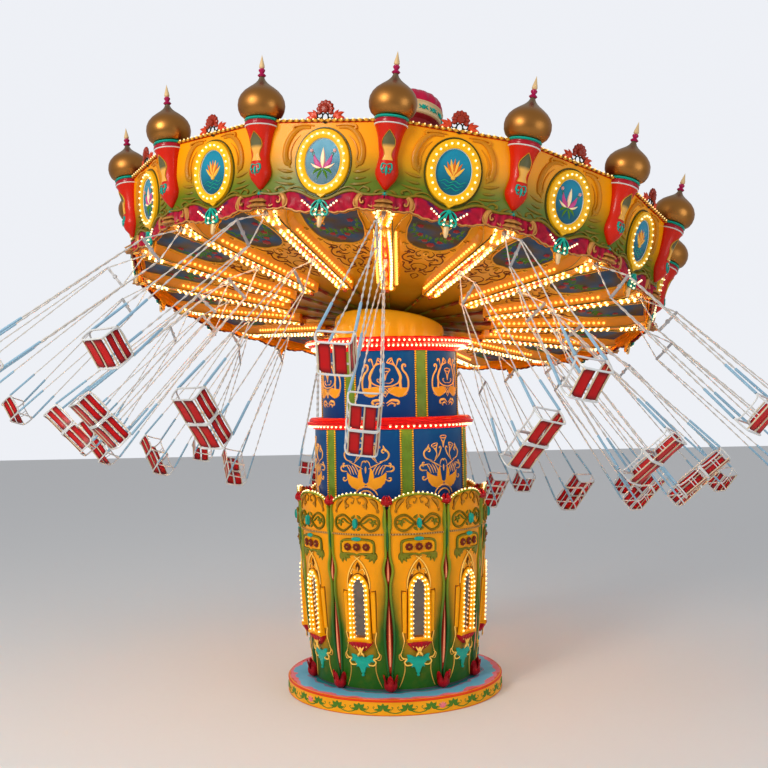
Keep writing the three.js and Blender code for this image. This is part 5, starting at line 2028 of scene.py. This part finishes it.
def make_ceiling():
    inner = (HUB_RADIUS + 0.0005) / math.cos(BAY / 2)
    outer = corner_radius(0.8) - 0.0406
    low = ceiling_height(inner)
    skin = canopy_ring([(inner, low), (2.2, ceiling_height(2.2)), (3.6, ceiling_height(3.6)), (outer, 0.8),
        (outer, 0.825), (inner, low + 0.025), (inner, low)])
    skin.shaded(lambda p: np.clip((2.9 - np.hypot(p[:, 0], p[:, 1])) / 1.0, 0, 1))
    canopy_piece("ceiling_skin", skin, "ceiling", ["ceiling"], 20)

    def on_bays(name, shape, finish):
        canopy_piece(name, every_bay(shape.laid(on_facet), 0.5), finish)

    on_bays("soffit_panels", soffit_panel(), "night")
    on_bays("soffit_borders", soffit_border(), "gold")
    on_bays("soffit_garlands", soffit_garland(), "vine")
    on_bays("soffit_blossoms", soffit_blossoms(), "soffit_rose")
    on_bays("ceiling_arabesques", ceiling_arabesque(), "arabesque")
    repaint("canopy_hub", "olive_line")


def make_canopy_bulbs():
    radius = bpy.context.scene.ride_settings.bulb_radius
    for name, places, size, offset, finish in [
        ("medallion_bulbs", on_board(medallion_bulb_places()), 0.02, 0.5, "pale_bulb"),
        ("edge_bulbs", on_board(edge_bulb_places()), 0.015, 0.5, "small_bulb"),
        ("bow_bulbs", on_board(bow_bulb_places()), 0.02, 0.5, "pale_bulb"),
        ("sweep_bulbs", under_sweep(sweep_bulb_places()), radius, 0.0, "bulb"),
        ("sweep_side_bulbs", sweep_side_bulb_places(), 0.03, 0.0, "dim_bulb"),
    ]:
        canopy_piece(name, every_bay(bulbs(places, size), offset), finish)


# Roof and crown

ROOF_LOW = 1.9
ROOF_HIGH = 4.15
ROOF_RISE = ROOF_HIGH - ROOF_LOW


def make_roof():
    """The canvas: one stretched sheet, sewn from sixteen gores that sag a little between columns."""
    outer = corner_radius(ROOF_LOW - 0.025) - 0.0406
    inner = 0.56
    thick = 0.004
    gores = Shape()
    for index in range(BAYS):
        angle = np.linspace(index * BAY, (index + 1) * BAY, 9)
        dip = 0.03 * np.sin(np.linspace(0, math.pi, 9))
        rings = []
        for share in np.linspace(0, 1, 9):
            chord = math.cos(BAY / 2) / np.cos(angle - (index + 0.5) * BAY)
            radius = (outer + (inner - outer) * share) * chord
            sag = (0.05 + dip) * math.sin(math.pi * share)
            height = ROOF_LOW + 0.016 + ROOF_RISE * share - sag
            top = round_axis(radius, angle, height)
            rings.append(np.vstack([top, top[::-1] - [0, 0, thick]]))
        gores.join(loft(rings, shade=float(index % 2)))
    roof = canopy_piece("roof_gores", gores.laid(turner(BAY_PHASE)), "canvas", ["roof"], 60)
    run = outer - inner
    seams = Shape()
    for index in range(BAYS):
        share = np.linspace(0, 1, 17)[:, None]
        start = np.array([0.0, -outer, ROOF_LOW + 0.018])
        sag = np.sin(math.pi * share) * [0.0, 0.0, 0.05]
        line = start + share * [0.0, run, ROOF_RISE] - sag
        seams.join(tube(line, 0.011, 5).laid(turner(BAY_PHASE + index * BAY)))
    seams = canopy_piece("roof_seams", seams, "canvas_seam")


def make_crown():
    post = [(0.0, 1.1505), (0.252, 1.1505), (0.252, 3.85), (0.555, 4.03), (0.555, 4.62), (0.62, 4.68),
        (0.62, 4.7), (0.0, 4.7)]
    canopy_piece("crown_post", lathe(post, 32), "dark_red", ["crown"])
    band = [(0.0, 4.7), (0.64, 4.7), (0.665, 4.72), (0.655, 4.75), (0.645, 4.84), (0.66, 4.92), (0.68, 4.95),
        (0.66, 4.985), (0.0, 4.99)]
    canopy_piece("crown_band", lathe(band, 48), "spire")
    sides = 16 * 6
    angle = np.arange(sides) * TAU / sides
    rings = []
    for radius, height in [(0.64, 4.985), (0.66, 5.05), (0.64, 5.14), (0.56, 5.25), (0.42, 5.33),
            (0.25, 5.375), (0.1, 5.39)]:
        lobe = radius * (0.955 + 0.045 * np.abs(np.cos(angle * 8)))
        rings.append(round_axis(lobe, angle, height))
    canopy_piece("crown_cushion", loft(rings), "crown")
    tip = lathe([(0.0, 5.37), (0.1, 5.375), (0.12, 5.4), (0.1, 5.43), (0.04, 5.455), (0.0, 5.47)], 20)
    canopy_piece("crown_tip", tip, "magenta")
    motif = disc_plate((0, 4.84), 0.05, 0, 0.03, 6, 0.15)
    for side in (-1, 1):
        for up in (4.9, 4.79):
            motif.join(leaf((side * 0.05, 4.84), (side * 0.115, up), 0.03, 0.2, 0.02))
    canopy_piece("crown_motifs", motif.laid(on_drum(0.648)).around(16), "teal")


# Chairs, drawn in a frame with its origin at the hanger's pin, +Z up the chains and +Y ahead of the rider

CHAIR_KINDS = {
    # name: (hang, spreader, seats)
    "outer": (4.055, 0.675, 1),
    "inner": (4.1, 0.58, 2),
}
SPREAD = 0.23
SEAT_GAP = 0.012
CHAIN_LINK = 0.1
# ahead of the seat's middle and above its floor
CHAIN_ENDS = [(0.238, 0.28), (-0.238, 0.325)]


def chosen_size(name):
    """A size from the settings, rounded because Blender keeps it in single precision."""
    return round(getattr(bpy.context.scene.ride_settings, name), 6)


def chain(start, end):
    """A chain as a run of flattened links, each a quarter turn on from the last."""
    radius = chosen_size("chain_radius")
    start = np.asarray(start, float)
    end = np.asarray(end, float)
    along = end - start
    count = int(np.linalg.norm(along) / CHAIN_LINK) * 2
    along /= np.linalg.norm(along)
    first = np.cross(along, [0.0, 1.0, 0.0])
    first /= np.linalg.norm(first)
    second = np.cross(along, first)
    rings = []
    for index, share in enumerate(np.linspace(0, 1, count + 1)):
        wide, thin = (1.5, 0.75) if (index // 2) % 2 else (0.75, 1.5)
        middle = start + (end - start) * share
        corners = [wide * first, thin * second, -wide * first, -thin * second]
        rings.append([middle + radius * corner for corner in corners])
    return loft(rings)


def chair_sizes(kind):
    hang, spreader, seats = CHAIR_KINDS[kind]
    arm = (0.5 * seats + 0.02 * (seats - 1) - 0.026) / 2
    return -hang - 0.15, -spreader, arm, seats


def chair_chains(kind):
    floor, level, arm, _ = chair_sizes(kind)
    lines = Shape()
    for side in (-1, 1):
        lines.join(chain((side * 0.012, 0, -0.03), (side * (SPREAD - 0.01), 0, level + 0.03)))
        for ahead, up in CHAIN_ENDS:
            high = (side * SPREAD, math.copysign(0.02, ahead), level - 0.02)
            lines.join(chain(high, (side * arm, ahead, floor + up)))
    return lines


def chair_rails(kind):
    """Beige rails across the seat, between its panels."""
    floor = chair_sizes(kind)[0]
    line, _ = seat_side()
    rails = Shape()
    for low, high in chair_spans(kind):
        for share in (0.0, 0.3, 0.6, 0.8, 1.0):
            ahead, up = line[min(int(share * len(line)), len(line) - 1)]
            rails.join(tube([(low, ahead, floor + up), (high, ahead, floor + up)], 0.0115, 7))
    return rails


def chair_sleeves(kind):
    """Hose over the lower part of the chains, where riders hold them."""
    floor, level, arm, _ = chair_sizes(kind)
    sleeves = Shape()
    for side in (-1, 1):
        for ahead, up in CHAIN_ENDS:
            high = np.array([side * SPREAD, math.copysign(0.02, ahead), level - 0.02])
            low = np.array([side * arm, ahead, floor + up])
            share = 0.7 / np.linalg.norm(high - low)
            sleeves.join(tube([low, low + (high - low) * share], 0.0215, 8))
    return sleeves


def chair_frame(kind):
    """White tubes: hooped sides, a rounded back, a lap bar and its strap."""
    floor, _, arm, seats = chair_sizes(kind)
    radius = chosen_size("tube_radius")
    tubes = Shape()
    hoop = smooth([(-0.226, 0.3), (-0.235, 0.12), (-0.215, 0.025), (-0.1, 0.014), (0.12, 0.014), (0.2, 0.03),
        (0.24, 0.13), (0.244, 0.24), (0.2, 0.275), (0.05, 0.275), (-0.14, 0.285), (-0.21, 0.3)], 2)
    places = [-arm, arm] if seats == 1 else [-arm, -SEAT_GAP, SEAT_GAP, arm]
    for across in places:
        line = stack(across, hoop[:, 0], hoop[:, 1] + floor)
        tubes.join(tube(line[:-1], radius, 6, closed=True))
    for low, high in chair_spans(kind):
        middle = (low + high) / 2
        half = (high - low) / 2
        back = smooth([(-half, 0.14), (-half, 0.24), (-half * 0.9, 0.31), (-half * 0.6, 0.338), (0.0, 0.344),
            (half * 0.6, 0.338), (half * 0.9, 0.31), (half, 0.24), (half, 0.14)], 2)
        tubes.join(tube(stack(middle + back[:, 0], -0.238, floor + back[:, 1]), radius, 6))
        bar = smooth([(-half, 0.262), (-half * 0.85, 0.215), (-half * 0.4, 0.2), (0.0, 0.2),
            (half * 0.4, 0.2), (half * 0.85, 0.215), (half, 0.262)], 2)
        tubes.join(tube(stack(middle + bar[:, 0], 0.246, floor + bar[:, 1]), 0.0135, 6))
        for side in (-1, 1):
            strap = [(middle + side * 0.035, 0.246, floor + 0.205),
                (middle + side * 0.03, 0.225, floor + 0.1), (middle + side * 0.03, 0.197, floor + 0.034)]
            tubes.join(tube(smooth(strap), 0.0085, 5))
    return tubes


SEAT_LINE = [(0.195, 0.034), (0.12, 0.026), (0.0, 0.02), (-0.12, 0.022), (-0.19, 0.036), (-0.222, 0.09),
    (-0.232, 0.19), (-0.238, 0.33)]
SEAT_PANELS = [(0.02, 0.28), (0.32, 0.56), (0.64, 0.78), (0.82, 0.98)]


def seat_side():
    """Points evenly along the side of a seat, and the direction square to it."""
    line = spaced(smooth(SEAT_LINE, 6), 0.62 / 60)
    normal = stack(-np.gradient(line[:, 1]), np.gradient(line[:, 0]))
    return line, normal / np.linalg.norm(normal, axis=1, keepdims=True)


def chair_spans(kind):
    """The left and right edge of each seat."""
    _, _, arm, seats = chair_sizes(kind)
    return [(-arm, arm)] if seats == 1 else [(-arm, -SEAT_GAP), (SEAT_GAP, arm)]


def chair_seat(kind):
    """Red panels, two under the rider and two behind: dished, with darker rims and rounded outer corners."""
    floor = chair_sizes(kind)[0]
    line, normal = seat_side()
    panels = Shape()
    lean = np.linspace(-1, 1, 7)
    dish = 0.012 * (1 - lean ** 2)
    for low, high in chair_spans(kind):
        middle = (low + high) / 2
        for first, last in SEAT_PANELS:
            rings = []
            shades = []
            rows = range(int(first * len(line)), int(last * len(line)), 3)
            for index in rows:
                share = index / len(line)
                round_off = max(0.0, (share - 0.86) / 0.14, (0.1 - share) / 0.1)
                half = ((high - low) / 2 - 0.022) * (1 - 0.22 * round_off ** 2)
                across = middle + half * lean
                (ahead, up), (ny, nz) = line[index], normal[index]
                upper = stack(across, ahead + ny * (0.006 - dish), floor + up + nz * (0.006 - dish))
                lower = stack(across[::-1], ahead - ny * (0.006 + dish), floor + up - nz * (0.006 + dish))
                rings.append(np.vstack([upper, lower]))
                # Painted shade: the rims and the first and last rows take the darker second colour.
                rim = np.abs(lean) ** 6 if index not in (rows[0], rows[-1]) else np.ones(7)
                shades.append(np.concatenate([rim, rim[::-1]]))
            panels.join(loft(rings, shade=np.array(shades)))
    return panels


def chair_spreader(kind):
    """The hanger's link and pin, and the flat spreader bar with its ring."""
    _, level, _, _ = chair_sizes(kind)
    end = SPREAD + 0.018
    outline = [(-end, level - 0.02), (-end + 0.03, level - 0.028), (end - 0.03, level - 0.028),
        (end, level - 0.02), (end, level + 0.02), (end - 0.03, level + 0.028), (0.05, level + 0.02),
        (-0.05, level + 0.02), (-end + 0.03, level + 0.028), (-end, level + 0.02)]
    bar = plate(outline, -0.012, 0.012, 0.004)
    for out in (0.02, -0.02):
        bar.join(disc_plate((0, level), 0.042, 0.0, out, sides=18))
    link = [(-0.02, 0.022), (0.02, 0.022), (0.026, -0.05), (0.0, -0.075), (-0.026, -0.05)]
    bar.join(plate(link[::-1], -0.014, 0.014, 0.003))
    pin = tube([(0, -0.033, 0), (0, 0.033, 0)], 0.012, 10)
    return bar.laid(lambda p: stack(p[:, 0], p[:, 2], p[:, 1])).join(pin)


def chair_place(name):
    """Where a chair's own frame stands: its pin is the joint, and it hangs thrown out by the spin."""
    hinge = joint(name)
    axis = Vector(hinge["axis"]).normalized()
    upright = CANOPY.to_3x3() @ Vector((0, 0, 1))
    out = -math.radians(hinge["range_deg"][0])
    lift = Matrix.Rotation(out, 3, axis) @ upright
    lift = (lift - axis * lift.dot(axis)).normalized()
    side = axis.cross(lift)
    turned = Matrix((side, axis, lift)).transposed().to_4x4()
    return Matrix.Translation(Vector(hinge["pos_m"])) @ turned


def make_chairs():
    for kind in CHAIR_KINDS:
        meshes = []
        for part, make, finish, slot in [
            ("spreader", chair_spreader, "spreader", "steel"), ("chains", chair_chains, "chain", "steel"),
            ("sleeves", chair_sleeves, "sleeve", "chair"), ("frame", chair_frame, "tube_white", "chair"),
            ("seat", chair_seat, "seat", "red"), ("rails", chair_rails, "rail", "cream"),
        ]:
            meshes.append((part, build_mesh(f"{kind}_{part}", make(kind), 40), finish, slot))
        for index in range(1, BAYS + 1):
            body = f"{kind}_chair_{index}"
            place = chair_place(f"{kind}_swing_{index}")
            for part, mesh, finish, slot in meshes:
                replaced = [body] if part == "frame" else []
                piece(f"{body}_{part}", mesh, finish, body, place, replaced)


# Stage

CAMERA_PLACE = (0.0, -21.0, 5.794)
CAMERA_YAW = math.radians(-0.303)
CAMERA_PITCH = math.radians(0.873)
CAMERA_ROLL = math.radians(1.118)
CAMERA_LENS = 48.07


def make_camera():
    level = math.cos(CAMERA_PITCH)
    forward = Vector((math.sin(CAMERA_YAW) * level, math.cos(CAMERA_YAW) * level, math.sin(CAMERA_PITCH)))
    right = forward.cross(Vector((0, 0, 1))).normalized()
    turn = Matrix.Rotation(CAMERA_ROLL, 3, forward)
    right = turn @ right
    up = right.cross(forward)
    data = bpy.data.cameras.new("Camera")
    data.sensor_width = 36
    data.lens = CAMERA_LENS
    data.clip_end = 500
    camera = bpy.data.objects.new("Camera", data)
    turned = Matrix((right, up, -forward)).transposed().to_4x4()
    camera.matrix_world = Matrix.Translation(CAMERA_PLACE) @ turned
    bpy.context.scene.collection.objects.link(camera)
    bpy.context.scene.camera = camera


def add_light(name, place, target, size, power, colour):
    data = bpy.data.lights.new(name, "AREA")
    data.shape = "DISK"
    data.size = size
    data.energy = power
    data.color = colour
    light = bpy.data.objects.new(name, data)
    aim = (Vector(target) - Vector(place)).to_track_quat("-Z", "Y")
    light.matrix_world = Matrix.Translation(place) @ aim.to_matrix().to_4x4()
    bpy.context.scene.collection.objects.link(light)


def make_world():
    """A pale studio sky. The camera sees it brighter than it lights the ride."""
    world = bpy.data.worlds.new("Pale studio")
    world.use_nodes = True
    nodes = world.node_tree.nodes
    camera = add_node(nodes, "LightPath").outputs["Is Camera Ray"]
    strength = maths(nodes, "MULTIPLY_ADD", camera, 0.4, 0.52)
    feed(nodes["Background"].inputs, {"Color": (0.93, 0.95, 1.0, 1), "Strength": strength})
    return world


def make_stage():
    scene = bpy.context.scene
    make_camera()
    scene.world = make_world()
    scene.view_settings.view_transform = "Standard"
    floor = bpy.data.meshes.new("floor")
    half = 90.0
    floor.from_pydata([(-half, -half, 0), (half, -half, 0), (half, half, 0), (-half, half, 0)], [],
        [(0, 1, 2, 3)])
    pale, _, surface = new_material("Pale floor")
    feed(surface, {"Base Color": (0.8, 0.8, 0.79, 1), "Roughness": 0.9})
    floor.materials.append(pale)
    ground = bpy.data.objects.new("floor", floor)
    scene.collection.objects.link(ground)
    add_light("Key", (-14, -20, 16), (0, 0, 6), 9, 3400, (1.0, 0.95, 0.86))
    add_light("Fill", (16, -16, 8), (0, 0, 6), 12, 700, (0.9, 0.95, 1.0))


# Add-on

def size_choice(name, text, size, most):
    return bpy.props.FloatProperty(name=name, description=text, default=size, min=0.005, max=most,
        unit="LENGTH")


def colour_choice(name, text, code):
    return bpy.props.FloatVectorProperty(name=name, description=text, default=srgb(code), min=0.0, max=1.0,
        size=4, subtype="COLOR")


class RideSettings(bpy.types.PropertyGroup):
    """Choices for the dressing of the ride."""

    bulb_radius: size_choice("Bulb radius", "Radius of the bulbs under the sweeps", 0.027, 0.06)
    chain_radius: size_choice("Chain radius", "Half the thickness of the chairs' chains", 0.011, 0.02)
    tube_radius: size_choice("Tube radius", "Radius of the chairs' bent tubes", 0.0145, 0.02)
    plinth_colour: colour_choice("Plinth colour", "Paint of the plinth's side", 0xF7A814)
    panel_colour: colour_choice("Panel colour", "Enamel of the upper barrel panels", 0xFCA000)
    tier_colour: colour_choice("Tier colour", "Enamel of the two tiers", 0x003478)
    board_colour: colour_choice("Board colour", "Enamel of the upper rounding boards", 0xFCA200)
    dome_colour: colour_choice("Dome colour", "Bronze of the domes on the columns", 0xAC7438)
    canvas_colour: colour_choice("Canvas colour", "Pale gores of the roof", 0xC9B98C)
    stripe_colour: colour_choice("Stripe colour", "Dark gores of the roof", 0x8E2A2A)
    seat_colour: colour_choice("Seat colour", "Panels of the chairs' seats", 0xC4060C)


def ride_operator(suffix, label, text, work):
    """An operator that makes one group of pieces."""
    def execute(self, context):
        work()
        return {"FINISHED"}
    return type(f"RIDE_OT_{suffix}", (bpy.types.Operator,), {
        "__doc__": text, "bl_idname": f"ride.{suffix}", "bl_label": label, "bl_options": {"REGISTER", "UNDO"},
        "execute": execute,
    })


def prepare_finishes():
    FINISH.update(make_materials())


OPERATORS = [ride_operator(*entry) for entry in [
    ("finishes", "Make finishes", "Make every paint, metal and glass", prepare_finishes),
    ("plinth", "Build plinth", "Dress the round plinth", make_plinth),
    ("barrel", "Build barrel", "Dress the ten barrel panels", make_barrel),
    ("tower_bulbs", "Fit barrel bulbs", "Fit the bulbs of the barrel", make_tower_bulbs),
    ("tiers", "Build tiers", "Dress the two blue tiers", make_tiers),
    ("cornices", "Build cornices", "Dress the red cornices and their bulbs", make_cornices),
    ("head", "Build head", "Dress the tilting head", make_head),
    ("boards", "Build rounding boards", "Dress the rounding boards and medallions", make_boards),
    ("columns", "Build columns", "Dress the columns, domes and spires", make_columns),
    ("drapery", "Hang drapery", "Hang the drapery, bows and tassels", make_drapery),
    ("sweeps", "Build sweeps", "Dress the sweeps and their ties", make_sweeps),
    ("ceiling", "Build ceiling", "Dress the ceiling", make_ceiling),
    ("canopy_bulbs", "Fit canopy bulbs", "Fit the bulbs of the canopy", make_canopy_bulbs),
    ("roof", "Build roof", "Stretch the canvas roof", make_roof),
    ("crown", "Build crown", "Build the crown", make_crown),
    ("chairs", "Hang chairs", "Hang all thirty-two chairs", make_chairs),
    ("stage", "Set stage", "Set the floor, the lights and the camera", make_stage),
]]


class RIDE_PT_panel(bpy.types.Panel):
    """The ride's tools in the sidebar."""

    bl_label = "Swing ride"
    bl_idname = "RIDE_PT_panel"
    bl_space_type = "VIEW_3D"
    bl_region_type = "UI"
    bl_category = "Swing Ride"

    def draw(self, context):
        for name in RideSettings.__annotations__:
            self.layout.prop(context.scene.ride_settings, name)
        for operator in OPERATORS:
            self.layout.operator(operator.bl_idname)


CLASSES = [RideSettings] + OPERATORS + [RIDE_PT_panel]


def register():
    for cls in CLASSES:
        bpy.utils.register_class(cls)
    bpy.types.Scene.ride_settings = bpy.props.PointerProperty(type=RideSettings)


def unregister():
    del bpy.types.Scene.ride_settings
    for cls in reversed(CLASSES):
        bpy.utils.unregister_class(cls)


def main():
    register()
    for operator in OPERATORS:
        name = operator.bl_idname.split(".")[1]
        getattr(bpy.ops.ride, name)()


if __name__ == "__main__":
    main()
